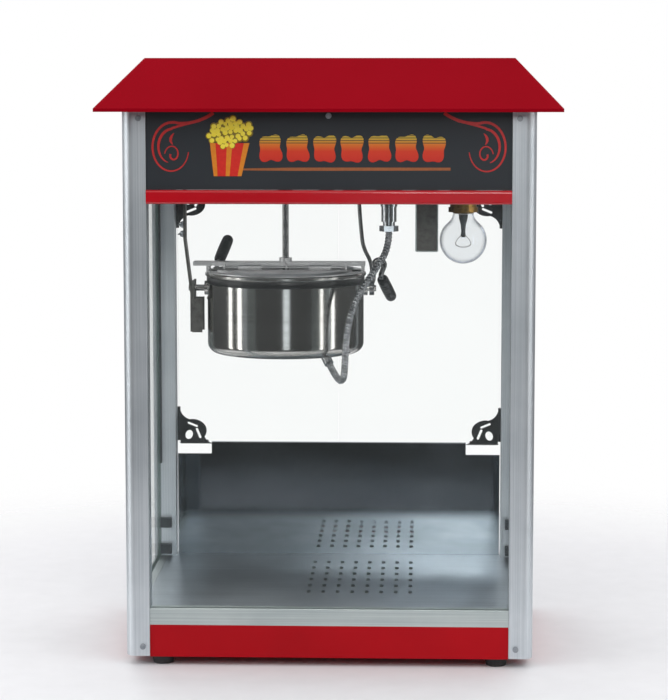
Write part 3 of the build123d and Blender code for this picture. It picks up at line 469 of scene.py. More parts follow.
# %% The panes and the lamp's glass
front_pane = pane_glass("front_pane", "Y", (226, 236, 236), (120, 168, 150), 0.5)
side_pane = pane_glass("side_pane", "X", (226, 236, 236), (120, 168, 150), 0.5)
door_pane = pane_glass("door_pane", "Y", (236, 240, 242), (150, 170, 176), 0.14)
lamp_glass = bulb_glass("lamp_glass", (176, 190, 216), 0.85, 0.035, 0.85)
stem_glass = bulb_glass("stem_glass", (206, 208, 206), 0.0, 0.3, 0.5)
print("finishes so far", len(bpy.data.materials))

# %% [markdown]
# ## Dress the CAD nodes
#
# A carried-over node keeps its mesh and only swaps the material in its slots. Listing the nodes under
# their finish makes a gap easy to see, and the count at the end proves that none was missed.

# %% Give every node its finish
FINISH_OF = {
    roof_red: ["roof"],
    base_red: ["base_box"],
    trim_red: ["header_trim", "side_panels", "switch_panel"],
    post_aluminium: ["post_front_left", "post_front_right", "post_rear_left", "post_rear_right"],
    rail_aluminium: ["rail_front", "rail_rear"],
    side_aluminium: ["side_rails"],
    floor_steel: ["floor_plate"],
    sheet_steel: ["ceiling_plate", "crumb_drawer"],
    dark_sheet: ["lamp_shield", "pivot_bracket", "kettle_arm_left"],
    rear_mirror: ["rear_panel"],
    spun_steel: ["kettle_shell"],
    lid_steel: ["lid_front", "lid_rear", "kettle_crossbar"],
    bowl_steel: ["kettle_pot"],
    cast_metal: ["gearbox", "motor", "heater_plate", "agitator_blades"],
    bright_rod: ["agitator_shaft", "drive_coupling", "kettle_arm_right", "tilt_arm"],
    chrome: ["lead_connector_top", "lead_connector_bottom", "door_knob_left", "door_knob_right"],
    zinc: ["frame_screws", "wing_nuts"],
    black_iron: ["door_hinges_left", "door_hinges_right", "hinge_post_leaves"],
    grip_black: ["lid_grip", "tilt_grip"],
    bezel_black: ["switch_bezels", "cable_gland", "door_catches", "kettle_socket"],
    rocker_red: ["rocker_heat", "rocker_motor", "rocker_light"],
    foot_rubber: ["feet"],
    gasket_rubber: ["glazing_gaskets"],
    lamp_brass: ["lamp_socket"],
    front_pane: ["front_glass"],
    side_pane: ["side_glass"],
    door_pane: ["door_left", "door_right"],
    lamp_glass: ["lamp_bulb"],
}


def dress(node, material):
    """Puts one material in every slot of a CAD node."""
    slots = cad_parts[node].material_slots
    for slot in slots:
        slot.material = material
    if not slots:
        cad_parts[node].data.materials.append(material)


for material, nodes in FINISH_OF.items():
    for node in nodes:
        dress(node, material)
dressed = {node for nodes in FINISH_OF.values() for node in nodes}
print("nodes dressed", len(dressed), "still bare", sorted(set(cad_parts) - dressed))

# %% [markdown]
# ## Making new pieces
#
# Every new piece is a mesh built from points in the model's own frame, so it needs no placing. The
# helper gives it a name, a material and a body to ride on, and smooth shading with an angle limit
# keeps folded edges crisp. Most forms here are turned on an axis or swept along a line, and both are
# rings of points with faces between them.

# %% The piece maker
def piece(name, points, faces, material, body, slot):
    """A named mesh that rides on a CAD body."""
    mesh = bpy.data.meshes.new(name)
    mesh.from_pydata([tuple(p) for p in points], [], faces)
    work = bmesh.new()
    work.from_mesh(mesh)
    bmesh.ops.recalc_face_normals(work, faces=work.faces)
    for edge in work.edges:
        edge.smooth = len(edge.link_faces) == 2 and edge.calc_face_angle(0) < math.radians(40)
    for face in work.faces:
        face.smooth = True
    work.to_mesh(mesh)
    work.free()
    made = bpy.data.objects.new(name, mesh)
    made.data.materials.append(material)
    bpy.context.collection.objects.link(made)
    if body:
        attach(made, body)
    return made


print("piece maker ready")

# %% Forms that the pieces share
def frame_of(direction):
    """Two unit vectors square to a direction and to each other."""
    direction = Vector(direction).normalized()
    helper = Vector((0, 0, 1)) if abs(direction.z) < 0.9 else Vector((1, 0, 0))
    across = direction.cross(helper).normalized()
    return across, direction.cross(across)


def turns(count):
    """So many angles, evenly round a full turn."""
    return [2 * math.pi * i / count for i in range(count)]


def tube_faces(rings, sides):
    """Faces between rings of points that follow one another, closed at both ends."""
    faces = []
    for ring in range(rings - 1):
        for i in range(sides):
            a, b = ring * sides + i, ring * sides + (i + 1) % sides
            faces.append((a, b, b + sides, a + sides))
    return faces + [tuple(range(sides)), tuple(range((rings - 1) * sides, rings * sides))]


def turned(start, direction, profile, sides=32):
    """Points and faces of a turned form: profile holds (distance along, radius) pairs."""
    direction = Vector(direction).normalized()
    across, up = frame_of(direction)
    points = []
    for along, radius in profile:
        middle = Vector(start) + direction * along
        for angle in turns(sides):
            points.append(middle + (across * math.cos(angle) + up * math.sin(angle)) * radius)
    return points, tube_faces(len(profile), sides)


def swept(line, reach, sides):
    """A tube along a line. reach(n, turn) is its radius at the line's point n and that share of a turn."""
    across = frame_of(line[1] - line[0])[0]
    points = []
    for n, middle in enumerate(line):
        ahead = line[min(n + 1, len(line) - 1)] - line[max(n - 1, 0)]
        across = (across - ahead * across.dot(ahead) / ahead.length_squared).normalized()
        up = ahead.normalized().cross(across)
        for i, angle in enumerate(turns(sides)):
            side = across * math.cos(angle) + up * math.sin(angle)
            points.append(middle + side * reach(n, i / sides))
    return points, tube_faces(len(line), sides)


def joined(parts):
    """Several (points, faces) pairs as one."""
    points, faces = [], []
    for part_points, part_faces in parts:
        shift = len(points)
        points += part_points
        faces += [tuple(i + shift for i in face) for face in part_faces]
    return points, faces


print("turned and swept forms ready")

# %% [markdown]
# ## The armoured lead
#
# The kettle gets its current through a steel-armoured lead that drops from the ceiling plug, passes
# down the kettle's side and folds up into a ferrule under it. Its length is fixed and both ends are
# held, so its route is one smooth NURBS curve through a few chosen points. The armour is a long strip
# wound in a helix, so each ring of the tube breathes in and out with an angle that moves on along the
# lead, and that makes one continuous spiral groove.

# %% The lead's route
LEAD_ROUTE_MM = (
    (71, -60, 529), (71, -60, 508), (54, -72, 481), (34, -86, 453), (22, -95, 422),
    (18, -96, 390), (17, -91, 362), (15, -83, 343), (7, -72, 342), (-4, -57, 361),
)
LEAD_RADIUS = 4.5 * MM


def route_points(route, steps=24):
    """Points along a NURBS curve whose control points are the route's."""
    data = bpy.data.curves.new("lead_route", "CURVE")
    data.dimensions = "3D"
    data.resolution_u = steps
    spline = data.splines.new("NURBS")
    spline.points.add(len(route) - 1)
    for point, place in zip(spline.points, route):
        point.co = (*(v * MM for v in place), 1.0)
    spline.order_u = 3
    spline.use_endpoint_u = True
    holder = bpy.data.objects.new("lead_route", data)
    mesh = bpy.data.meshes.new_from_object(holder)
    points = [Vector(vertex.co) for vertex in mesh.vertices]
    bpy.data.objects.remove(holder)
    bpy.data.curves.remove(data)
    bpy.data.meshes.remove(mesh)
    return points


lead_line = route_points(LEAD_ROUTE_MM)

# %% Wind the armour
ARMOUR_PITCH = 4.2 * MM
ARMOUR_GROOVE = 1.35 * MM
RINGS_A_TURN = 10
ARMOUR_SIDES = 20


def walk(line, spacing):
    """Points at an even spacing along a line."""
    places = [line[0]]
    done = 0.0
    travelled = 0.0
    for a, b in zip(line, line[1:]):
        step = (b - a).length
        while done + spacing <= travelled + step:
            done += spacing
            places.append(a.lerp(b, (done - travelled) / step))
        travelled += step
    return places


def armour_reach(ring, turn):
    """The hose's radius: a crest with one helical groove, as an interlocked steel strip has."""
    crest = abs(math.sin(math.pi * (ring / RINGS_A_TURN + turn))) ** 0.6
    return LEAD_RADIUS - ARMOUR_GROOVE * (1 - crest)


hose_centres = walk(lead_line, ARMOUR_PITCH / RINGS_A_TURN)
hose_points, hose_faces = swept(hose_centres, armour_reach, ARMOUR_SIDES)
hose = piece("kettle_lead_hose", hose_points, hose_faces, hose_steel, None, "chrome")
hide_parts("kettle_lead")
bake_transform(hose)
print("armour rings", len(hose_centres))

# %% [markdown]
# ## The band under the rim
#
# Just below the rolled rim a black ring stands in for the dark shadow and gap under the rim: painted shade
# given a solid form.
# It is a plain turned ring, so a profile swept round the kettle's axis makes it, a little proud of
# the steel so that it catches a thin line of light.

# %% Rim band
pot_low, pot_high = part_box("kettle_pot")
shell_low, shell_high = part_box("kettle_shell")
kettle_middle = Vector(((pot_low.x + pot_high.x) / 2, 0, 0))
shell_radius = (shell_high.y - shell_low.y) / 2


def hoop_faces(sides, count):
    """Faces of a closed profile of count points that goes once round in so many sides."""
    faces = []
    for i in range(sides):
        for k in range(count):
            a, b = i * count, (i + 1) % sides * count
            faces.append((a + k, a + (k + 1) % count, b + (k + 1) % count, b + k))
    return faces


def hollow_ring(axis_point, profile, sides=96):
    """A closed profile of (radius, height) pairs swept round an upright axis."""
    points = []
    for angle in turns(sides):
        for radius, height in profile:
            side = Vector((math.cos(angle), math.sin(angle), 0)) * radius
            points.append(Vector(axis_point) + side + Vector((0, 0, height)))
    return points, hoop_faces(sides, len(profile))


BAND_HEIGHT = 9 * MM
BAND_BEVEL = 1.5 * MM
BELOW_RIM = 5.7 * MM
band_top = pot_high.z - BELOW_RIM
band_foot = band_top - BAND_HEIGHT
band_inner = shell_radius - 0.4 * MM
band_shoulder = shell_radius + 0.6 * MM
band_outer = shell_radius + 1.3 * MM
band_profile = (
    (band_inner, band_foot), (band_shoulder, band_foot), (band_outer, band_foot + BAND_BEVEL),
    (band_outer, band_top - BAND_BEVEL), (band_shoulder, band_top), (band_inner, band_top),
)
band_form = hollow_ring(kettle_middle, band_profile)
# The black ring is painted shade for the shadow under the rolled rim.
piece("kettle_rim_shadow", *band_form, rim_shadow_black, "kettle", "black_plastic")
print("rim band from", round(band_foot, 4), "to", round(band_top, 4))

# %% [markdown]
# ## The ribbed grips
#
# The lid and the tilt arm end in black phenolic grips. A real one is turned with a collar, shallow
# rings for the fingers and a rounded tip. The CAD grip gives the axis: the direction in which its
# points spread furthest. A turned profile along that axis then stands for the plain CAD bar.

# %% The grips' axis and profile
def axis_of(node):
    """Start, direction, length and radius of a long round CAD node."""
    points = np.array([v.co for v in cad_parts[node].data.vertices])
    middle = points.mean(axis=0)
    direction = np.linalg.svd(points - middle, full_matrices=False)[2][0]
    along = (points - middle) @ direction
    radius = np.linalg.norm((points - middle) - np.outer(along, direction), axis=1).max()
    return middle + direction * along.min(), direction, along.max() - along.min(), radius


GRIP_COLLAR = ((0, 0.72), (0.8, 0.8), (3, 0.8), (3.6, 0.93))
GRIP_BODY_START = 5 * MM
GRIP_RINGS = 7
RING_STEPS = GRIP_RINGS * 6
TIP_STEPS = 8


def grip_profile(length, radius):
    """Collar, ringed body and rounded tip, as (distance along, radius) pairs."""
    profile = [(along * MM, radius * share) for along, share in GRIP_COLLAR]
    body_end = length - radius
    for i in range(RING_STEPS + 1):
        share = i / RING_STEPS
        swell = 0.955 + 0.045 * math.sin(math.pi * share)
        groove = 0.1 * max(0.0, math.cos(2 * math.pi * GRIP_RINGS * share)) ** 2
        along = GRIP_BODY_START + (body_end - GRIP_BODY_START) * share
        profile.append((along, radius * (swell - groove)))
    for i in range(1, TIP_STEPS + 1):
        angle = math.pi / 2 * i / TIP_STEPS
        reach = max(math.cos(angle), 0.02)
        profile.append((body_end + radius * 0.94 * math.sin(angle), radius * 0.95 * reach))
    return profile


def kettle_end_first(node):
    """The grip's axis, turned so that it starts at the end nearer the kettle."""
    start, direction, length, radius = axis_of(node)
    middle = np.array((pot_low + pot_high) / 2)
    end = start + direction * length
    if np.linalg.norm(end - middle) < np.linalg.norm(start - middle):
        start, direction = end, -direction
    return start, direction, length, radius


print("grip rings", GRIP_RINGS)

# %% Turn the grips
for node, body in (("lid_grip", "lid_rear"), ("tilt_grip", "kettle")):
    start, direction, length, radius = kettle_end_first(node)
    form = turned(start, direction, grip_profile(length, radius))
    grip = piece(f"{node}_ribbed", *form, grip_black, body, "black_plastic")
    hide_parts(node)
    print(node, "length", round(length, 4), "radius", round(radius, 4))

# %% [markdown]
# ## Printed sign: the tools
#
# The header carries a screen-printed panel. Print has no depth to speak of, but thin raised shapes
# keep their edges sharp from any distance, where a painted texture would blur. Two tools are enough:
# a flat plate from an outline, and a ribbon that follows a line with a changing width.

# %% Plates and ribbons on the sign
sign_low, sign_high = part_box("sign_panel")
sign_size = sign_high - sign_low
INK = 0.25 * MM
SUNK = 0.1 * MM


def slab_faces(count):
    """Faces of a slab from the count points of its front outline and as many of its back."""
    faces = [tuple(range(count)), tuple(range(2 * count - 1, count - 1, -1))]
    return faces + [(i, (i + 1) % count, count + (i + 1) % count, count + i) for i in range(count)]


def on_sign(across, up, lift=INK):
    """A place on the sign's face, from shares of its width and height."""
    x = sign_low.x + sign_size.x * across
    z = sign_low.z + sign_size.z * up
    return Vector((x, sign_low.y - lift, z))


def plate(outline, lift=INK):
    """A thin flat plate on the sign from an outline of (across, up) shares."""
    points = [on_sign(a, u, depth) for depth in (lift, -SUNK) for a, u in outline]
    return points, slab_faces(len(outline))


def ribbon(line, widths, lift=INK):
    """A thin ribbon along (across, up) points, with a half-width in metres at each."""
    places = [on_sign(a, u, lift) for a, u in line]
    edges = []
    for n, (place, half) in enumerate(zip(places, widths)):
        ahead = places[min(n + 1, len(places) - 1)] - places[max(n - 1, 0)]
        side = Vector((-ahead.z, 0, ahead.x)).normalized() * half
        edges.append((place + side, place - side))
    into = Vector((0, lift + SUNK, 0))
    points = [p for left, right in edges for p in (left, right, right + into, left + into)]
    return points, tube_faces(len(edges), 4)


print("sign face", round(sign_size.x, 3), "by", round(sign_size.z, 3))

# %% [markdown]
# ## Printed sign: the inks
#
# The ground is a smoky polycarbonate. The inks are flat plastic colours with a faint screen texture.
# The row of kernels is printed as a split fountain, where two inks meet on the screen and give a
# blend from red at the foot to yellow at the head, cut by fine dark lines near the top.

# %% Sign finishes
FOUNTAIN_LINE_PITCH = 3.1 * MM
FOUNTAIN_STOPS = (
    (0.0, colour(206, 34, 26)), (0.42, colour(222, 60, 28)),
    (0.62, colour(226, 118, 34)), (0.84, colour(208, 176, 58)),
)


def sign_ground():
    """Smoky plastic sheet."""
    finish = Finish("sign_ground")
    haze = finish.noise((6, 6, 9), 4)
    return finish.done(finish.shader({
        "Base Color": finish.blend(haze, (42, 46, 51), (54, 58, 62)),
        "Roughness": 0.34 + 0.1 * haze,
        "Specular IOR Level": 0.3,
        "Normal": finish.bump(finish.noise((500, 500, 500)), 0.00003, 0.3),
    }))


def ink(name, dark, light):
    """A flat colour with the screen's fine texture."""
    finish = Finish(name)
    screen = finish.noise((260, 260, 260), 2)
    return finish.done(finish.shader({
        "Base Color": finish.blend(screen, dark, light),
        "Roughness": 0.3 + 0.12 * screen,
        "Normal": finish.bump(screen, 0.00003, 0.3),
    }))


def split_fountain():
    """Two inks that meet between the kernels' foot and head, with dark lines near the head."""
    finish = Finish("split_fountain_ink")
    foot = sign_low.z + 0.33 * sign_size.z
    head = sign_low.z + 0.73 * sign_size.z
    rise = (finish.axis("Z") - foot) / (head - foot)
    blend = finish.node("ShaderNodeValToRGB", {"stops": FOUNTAIN_STOPS}, {0: rise})
    wave = finish.math("SINE", finish.axis("Z") * (2 * math.pi / FOUNTAIN_LINE_PITCH))
    lines = finish.between(wave, 0.55, 0.85) * finish.between(rise, 0.6, 0.68)
    return finish.done(finish.shader({
        "Base Color": finish.blend(lines, blend, (54, 50, 44)),
        "Roughness": 0.32 + 0.1 * finish.noise((260, 260, 260), 2),
    }))


dress("sign_panel", sign_ground())
scroll_ink = ink("scroll_ink", (176, 34, 36), (206, 50, 48))
tub_ink = ink("tub_ink", (208, 30, 24), (232, 46, 32))
stripe_ink = ink("stripe_ink", (220, 120, 24), (236, 150, 40))
puff_ink = ink("puff_ink", (252, 226, 44), (255, 242, 92))
shade_ink = ink("shade_ink", (120, 100, 20), (156, 134, 30))
line_ink = ink("line_ink", (146, 84, 44), (176, 104, 58))
fountain_ink = split_fountain()
print("finishes in all", len(bpy.data.materials))

# %% [markdown]
# ## Printed sign: the scrolls
#
# Fairground lettering is framed by scrolls. Each is a volute, a spiral whose radius shrinks evenly
# with the angle, with a stem that runs in from the top edge and a small sprig that curls the other
# way. The right end mirrors the left, so one function draws both.

# %% Spirals and curves
SQUEEZE = 0.8 * sign_size.z / sign_size.x


def volute(middle, radius_start, radius_end, turn_start, turn_end, steps=40):
    """Points of a spiral, a little narrower than high. Radii are shares of the sign's height."""
    line = []
    for i in range(steps + 1):
        share = i / steps
        radius = radius_start + (radius_end - radius_start) * share
        angle = math.radians(turn_start + (turn_end - turn_start) * share)
        across = middle[0] + SQUEEZE * radius * math.cos(angle)
        line.append((across, middle[1] + radius * math.sin(angle)))
    return line


def bend(start, pull, end, steps=14):
    """A quadratic curve from start to end, pulled towards a third point."""
    line = []
    for i in range(steps):
        t = i / steps
        weights = ((1 - t) ** 2, 2 * t * (1 - t), t * t)
        line.append(tuple(sum(w * v for w, v in zip(weights, values)) for values in zip(start, pull, end)))
    return line


def taper(line, thick, thin, swell=0.0):
    """Half-widths that shrink along a line, with a swelling in the middle."""
    shares = [i / (len(line) - 1) for i in range(len(line))]
    return [thick + (thin - thick) * share + swell * math.sin(math.pi * share) for share in shares]


print("a volute is", round(SQUEEZE * sign_size.x / sign_size.z, 2), "as wide as high")

# %% Draw the scrolls
def scroll_parts():
    """The strokes of the left scroll, as (line, half-widths) pairs."""
    hub = (0.072, 0.53)
    hoop = volute(hub, 0.34, 0.27, 72, 350)
    stem = bend((0.186, 0.985), (0.142, 0.84), hoop[0])
    hook = bend((0.15, 0.88), (0.098, 0.83), (0.066, 0.78), 10) + volute(hub, 0.25, 0.19, 92, 250, 28)
    curl = volute((0.074, 0.45), 0.13, 0.035, 175, -190, 26)
    sprig = bend((0.074, 0.58), (0.06, 0.66), (0.082, 0.74), 10)
    return [
        (stem + hoop, taper(stem + hoop, 2.0 * MM, 0.6 * MM)),
        (hook, taper(hook, 0.9 * MM, 0.5 * MM, 0.9 * MM)),
        (curl, taper(curl, 0.6 * MM, 1.2 * MM)),
        (sprig, taper(sprig, 0.5 * MM, 0.4 * MM, 1.2 * MM)),
    ]


for end, mirrored in (("left", False), ("right", True)):
    strokes = []
    for layer, (line, widths) in enumerate(scroll_parts()):
        placed = [(1 - a, u) for a, u in line] if mirrored else line
        strokes.append(ribbon(placed, widths, INK * (1 + 0.25 * layer)))
    piece(f"sign_scroll_{end}", *joined(strokes), scroll_ink, "cabinet", "sign")
print("strokes in a scroll", len(strokes))

# %% [markdown]
# ## Printed sign: the tub and its puffs
#
# Left of the middle stands a striped paper tub with popped corn heaped over its rim. The tub is a
# plate with tapered stripes on it. Each puff is a low dome, and a wider and flatter dome in a darker ink
# lies under it, so that every puff gets its own printed outline.

# %% Draw the tub
TUB_FOOT_UP, TUB_HEAD_UP = 0.175, 0.6
TUB_FOOT_LEFT, TUB_FOOT_WIDTH = 0.186, 0.076
TUB_HEAD_LEFT, TUB_HEAD_WIDTH = 0.176, 0.108
STRIPE_WIDTH = 0.14
STRIPE_STARTS = (0.0, 0.43, 0.86)


def tub_stripe(start, end, lift):
    """The part of the tub between two shares of its width."""
    foot = [(TUB_FOOT_LEFT + TUB_FOOT_WIDTH * share, TUB_FOOT_UP) for share in (start, end)]
    head = [(TUB_HEAD_LEFT + TUB_HEAD_WIDTH * share, TUB_HEAD_UP) for share in (end, start)]
    return plate(foot + head, lift)


piece("sign_tub", *tub_stripe(0, 1, INK), tub_ink, "cabinet", "sign")
stripes = [tub_stripe(start, start + STRIPE_WIDTH, 1.6 * INK) for start in STRIPE_STARTS]
piece("sign_tub_stripes", *joined(stripes), stripe_ink, "cabinet", "sign")
print("tub stripes", len(stripes))

# %% Heap the puffs
def dome_profile(radius, height, tip):
    """A quarter round as (distance along, radius) pairs. Its top is cut off at a share of the radius."""
    angles = [math.pi / 2 * k / 5 for k in range(5)]
    return [(height * math.sin(a), radius * math.cos(a)) for a in angles] + [(height, radius * tip)]


PUFF_PITCH = 6.3 * MM
ROW_PITCH = 0.82 * PUFF_PITCH
SHAKE_MM = 1.2
HEAP_ROWS = 6
HEAP_MIDDLE = (0.231, 0.735)
HEAP_HALF_WIDTH, HEAP_HALF_HEIGHT = 26 * MM, 16.5 * MM
HEAP_LEAN = 0.18


def heap_spots():
    """Places for the puffs: rows a pitch apart, each shaken a little, inside a leaning oval."""
    spots = []
    for row in range(-HEAP_ROWS, HEAP_ROWS + 1):
        for column in range(-HEAP_ROWS, HEAP_ROWS + 1):
            out = (column + 0.5 * (row % 2)) * PUFF_PITCH + random.uniform(-SHAKE_MM, SHAKE_MM) * MM
            up = row * ROW_PITCH + random.uniform(-SHAKE_MM, SHAKE_MM) * MM
            if (out / HEAP_HALF_WIDTH) ** 2 + (up / HEAP_HALF_HEIGHT) ** 2 < 1:
                across = HEAP_MIDDLE[0] + out / sign_size.x
                spots.append((across, HEAP_MIDDLE[1] + (up + HEAP_LEAN * out) / sign_size.z))
    return spots


def heap(spots, radius, height):
    """Domes of slightly different sizes on the given spots."""
    domes = []
    for across, up in spots:
        puff_radius = radius * random.uniform(0.85, 1.15)
        profile = dome_profile(puff_radius, height * random.uniform(0.8, 1.2), 0.05)
        domes.append(turned(on_sign(across, up, 0), (0, -1, 0), profile, 14))
    return joined(domes)


puff_spots = heap_spots()
piece("sign_puff_shade", *heap(puff_spots, 4.3 * MM, 0.4 * MM), shade_ink, "cabinet", "sign")
piece("sign_puffs", *heap(puff_spots, 3.15 * MM, 1.0 * MM), puff_ink, "cabinet", "sign")
print("puffs in the heap", len(puff_spots))

# %% [markdown]
# ## Printed sign: the kernels and the line
#
# Across the middle runs a row of seven popped kernels instead of words: lobed shapes, each turned a
# little differently, over a thin printed line that starts behind the tub.

# %% Draw the kernels
KERNELS = 7
KERNEL_HALF_WIDTH, KERNEL_HALF_HEIGHT = 16.6 * MM, 19.6 * MM
KERNEL_FIRST, KERNEL_PITCH, KERNEL_UP = 0.3416, 0.0741, 0.528
OUTLINE_STEPS = 48


def kernel(index):
    """One popped kernel: four lobes of different size round a core."""
    middle = KERNEL_FIRST + KERNEL_PITCH * index
    lean = random.uniform(0, 2 * math.pi)
    outline = []
    for angle in turns(OUTLINE_STEPS):
        lobes = 0.86 + 0.14 * math.cos(4 * angle + 0.35 * math.sin(lean))
        lobes += 0.05 * math.cos(3 * angle + lean)
        across = KERNEL_HALF_WIDTH * lobes * math.cos(angle + math.pi / 4)
        up = KERNEL_HALF_HEIGHT * lobes * math.sin(angle + math.pi / 4)
        outline.append((middle + across / sign_size.x, KERNEL_UP + up / sign_size.z))
    return plate(outline)


for index in range(KERNELS):
    piece(f"sign_kernel_{index + 1}", *kernel(index), fountain_ink, "cabinet", "sign")
underline = [(0.262, 0.262), (0.4, 0.266), (0.6, 0.268), (0.832, 0.27)]
underline_widths = [1.1 * MM, 1.9 * MM, 1.9 * MM, 1.7 * MM]
piece("sign_underline", *ribbon(underline, underline_widths), line_ink, "cabinet", "sign")
print("kernels drawn", KERNELS)

# %% [markdown]
# ## Rivets and screws
#
# Small fasteners tell the eye how a thing is held together. A rivet is a low dome, and a ray cast
# against the CAD part finds the exact surface that it sits on, so no depth has to be typed in.

# %% The rivet maker
def touch(node, start, direction):
    """Where a ray meets a CAD node, and the surface normal there."""
    hit, place, normal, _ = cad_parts[node].ray_cast(Vector(start), Vector(direction).normalized())
    if not hit:
        raise ValueError(f"the ray misses {node}")
    return place, normal


def rivet(node, start, direction, radius=2.0 * MM, height=1.1 * MM):
    """A dome head on the surface that the ray meets."""
    place, normal = touch(node, start, direction)
    profile = [(-0.2 * MM, radius)] + dome_profile(radius, height, 0.04)
    return turned(place, normal, profile, 20)


print("rivet maker ready")

# %% Set the rivets and screws
FAR = 0.4
LEAF_RIVETS_MM = ((4, 4), (37, 3.2), (3.2, 37))
LEAF_START = 1.5 * MM
POST_SCREW_IN = 6 * MM
POST_SCREW_UP = (8 * MM, 42 * MM)
SHELL_RIVETS_MM = {
    -1: ((-16, 452), (16, 452), (-13, 440), (13, 440)),
    1: ((-16, 452), (-13, 440)),
}


def door_rivets(side):
    """Three rivets on each corner leaf of one door, on the operator's side."""
    node = f"door_hinges_{side}"
    low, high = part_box(f"door_{side}")
    sign = -1 if side == "left" else 1
    edge = (low.x if side == "left" else high.x) - sign * LEAF_START
    heads = []
    for corner, up in ((low.z, 1), (high.z, -1)):
        for inward, along in LEAF_RIVETS_MM:
            start = (edge - sign * inward * MM, FAR, corner + up * along * MM)
            heads.append(rivet(node, start, (0, -1, 0), 1.7 * MM, 0.9 * MM))
    return heads


for side in ("left", "right"):
    door_heads = door_rivets(side)
    piece(f"door_rivets_{side}", *joined(door_heads), black_iron, f"door_{side}", "black_iron")
    print("rivets on the", side, "door", len(door_heads))

post_heads = []
leaf_low, leaf_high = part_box("hinge_post_leaves")
screw_heights = [leaf_low.z + up for up in POST_SCREW_UP]
screw_heights += [leaf_high.z - down for down in reversed(POST_SCREW_UP)]
for x in (leaf_low.x + POST_SCREW_IN, leaf_high.x - POST_SCREW_IN):
    for z in screw_heights:
        post_heads.append(rivet("hinge_post_leaves", (x, FAR, z), (0, -1, 0)))
piece("hinge_post_screws", *joined(post_heads), zinc, "cabinet", "steel")

shell_heads = []
for side, places in SHELL_RIVETS_MM.items():
    for y, z in places:
        shell_heads.append(rivet("kettle_shell", (side * FAR, y * MM, z * MM), (-side, 0, 0)))
piece("kettle_shell_rivets", *joined(shell_heads), bright_rod, "kettle", "steel")
print("post screws", len(post_heads), "shell rivets", len(shell_heads))

# %% [markdown]
# ## Wing nuts
#
# The crank of the left hanger is clamped by two wing nuts. Each is a short turned hub with two ears
# that sweep out and back, wide at the tip and thin at the root, which a plain bar can't suggest.

# %% Shape the wing nuts
NUT_HUB_MM = ((0, 4.4), (2.2, 4.2), (4.6, 3.2), (5.0, 2.6))
EAR_MM = (
    (0.5, 2.0), (2.8, 3.6), (4.4, 6.4), (6.0, 8.4), (7.0, 8.6),
    (7.0, 7.2), (5.6, 4.6), (4.0, 2.4), (3.2, 1.4),
)
EAR_HALF_THICK = 0.8 * MM
NUT_INSET = 3.6 * MM


def in_metres(profile):
    """A profile in millimetres as one in metres."""
    return [(along * MM, radius * MM) for along, radius in profile]


def ear(root, out, away):
    """One ear of a wing nut: a thin plate whose outline swells towards a rounded tip."""
    thick = out.cross(away).normalized() * EAR_HALF_THICK
    front = [root + out * a + away * b + thick for a, b in in_metres(EAR_MM)]
    back = [p - 2 * thick for p in front]
    return front + back, slab_faces(len(front))


nuts_low, nuts_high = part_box("wing_nuts")
outward = Vector((-1, 0, 0))
nut_seats = [Vector((nuts_high.x, 0, z)) for z in (nuts_low.z + NUT_INSET, nuts_high.z - NUT_INSET)]
nut_parts = []
for seat in nut_seats:
    nut_parts.append(turned(seat, outward, in_metres(NUT_HUB_MM), 24))
    for away in (Vector((0, 1, 0)), Vector((0, -1, 0))):
        nut_parts.append(ear(seat, outward, away))
wings = piece("wing_nuts_shaped", *joined(nut_parts), zinc, "cabinet", "steel")
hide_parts("wing_nuts")
print("wing nuts shaped", len(nut_seats))

# %% [markdown]
# ## Inside the lamp
#
# A clear bulb shows its works: a glass stem, two stiff support wires and a fine coiled filament slung
# between them. The wires are thin tubes along short lines, and the coil is a helix bent into an arc.
# The heat shield beside it has a bright rolled hem on its cut edges, which the same tube maker draws.

# %% The filament
bulb_low, bulb_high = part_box("lamp_bulb")
bulb_middle = (bulb_low + bulb_high) / 2
globe_radius = (bulb_high.x - bulb_low.x) / 2
globe_middle = Vector((bulb_middle.x, bulb_middle.y, bulb_low.z + globe_radius))


def wire(line, radius, sides=8):
    """A thin round wire along a list of points."""
    return swept(line, lambda n, turn: radius, sides)


STEM_TOP_UP = 33 * MM
STEM_MM = ((0, 6), (6, 5.4), (14, 3.2), (22, 2.6), (27, 3.4), (30, 1.6))
stem_top = globe_middle + Vector((0, 0, STEM_TOP_UP))
stem = turned(stem_top, (0, 0, -1), in_metres(STEM_MM), 20)
piece("lamp_stem", *stem, stem_glass, "cabinet", "glass")

# The coil's measures are millimetres from the middle of the globe.
COIL_HALF_WIDTH = 10
COIL_TOP = -4
COIL_SAG = 5
COIL_RADIUS = 0.8
COIL_TURNS = 30
COIL_STEPS = 240

wires = []
for side in (-1, 1):
    root = stem_top + Vector((side * 1.5, 0, -26)) * MM
    tip = globe_middle + Vector((side * COIL_HALF_WIDTH, 0, COIL_TOP)) * MM
    elbow = root.lerp(tip, 0.5) + Vector((side * 1.5 * MM, 0, 0))
    wires.append(wire([root, elbow, tip], 0.35 * MM))
coil = []
for i in range(COIL_STEPS + 1):
    share = i / COIL_STEPS
    swing = math.pi * (1 - share)
    turn = 2 * math.pi * COIL_TURNS * share
    x = COIL_HALF_WIDTH * math.cos(swing)
    z = COIL_TOP - COIL_SAG * math.sin(swing) + COIL_RADIUS * math.cos(turn)
    coil.append(globe_middle + Vector((x, COIL_RADIUS * math.sin(turn), z)) * MM)
wires.append(wire(coil, 0.16 * MM, 5))
piece("lamp_filament", *joined(wires), bright_rod, "cabinet", "steel")
print("globe radius", round(globe_radius, 4))

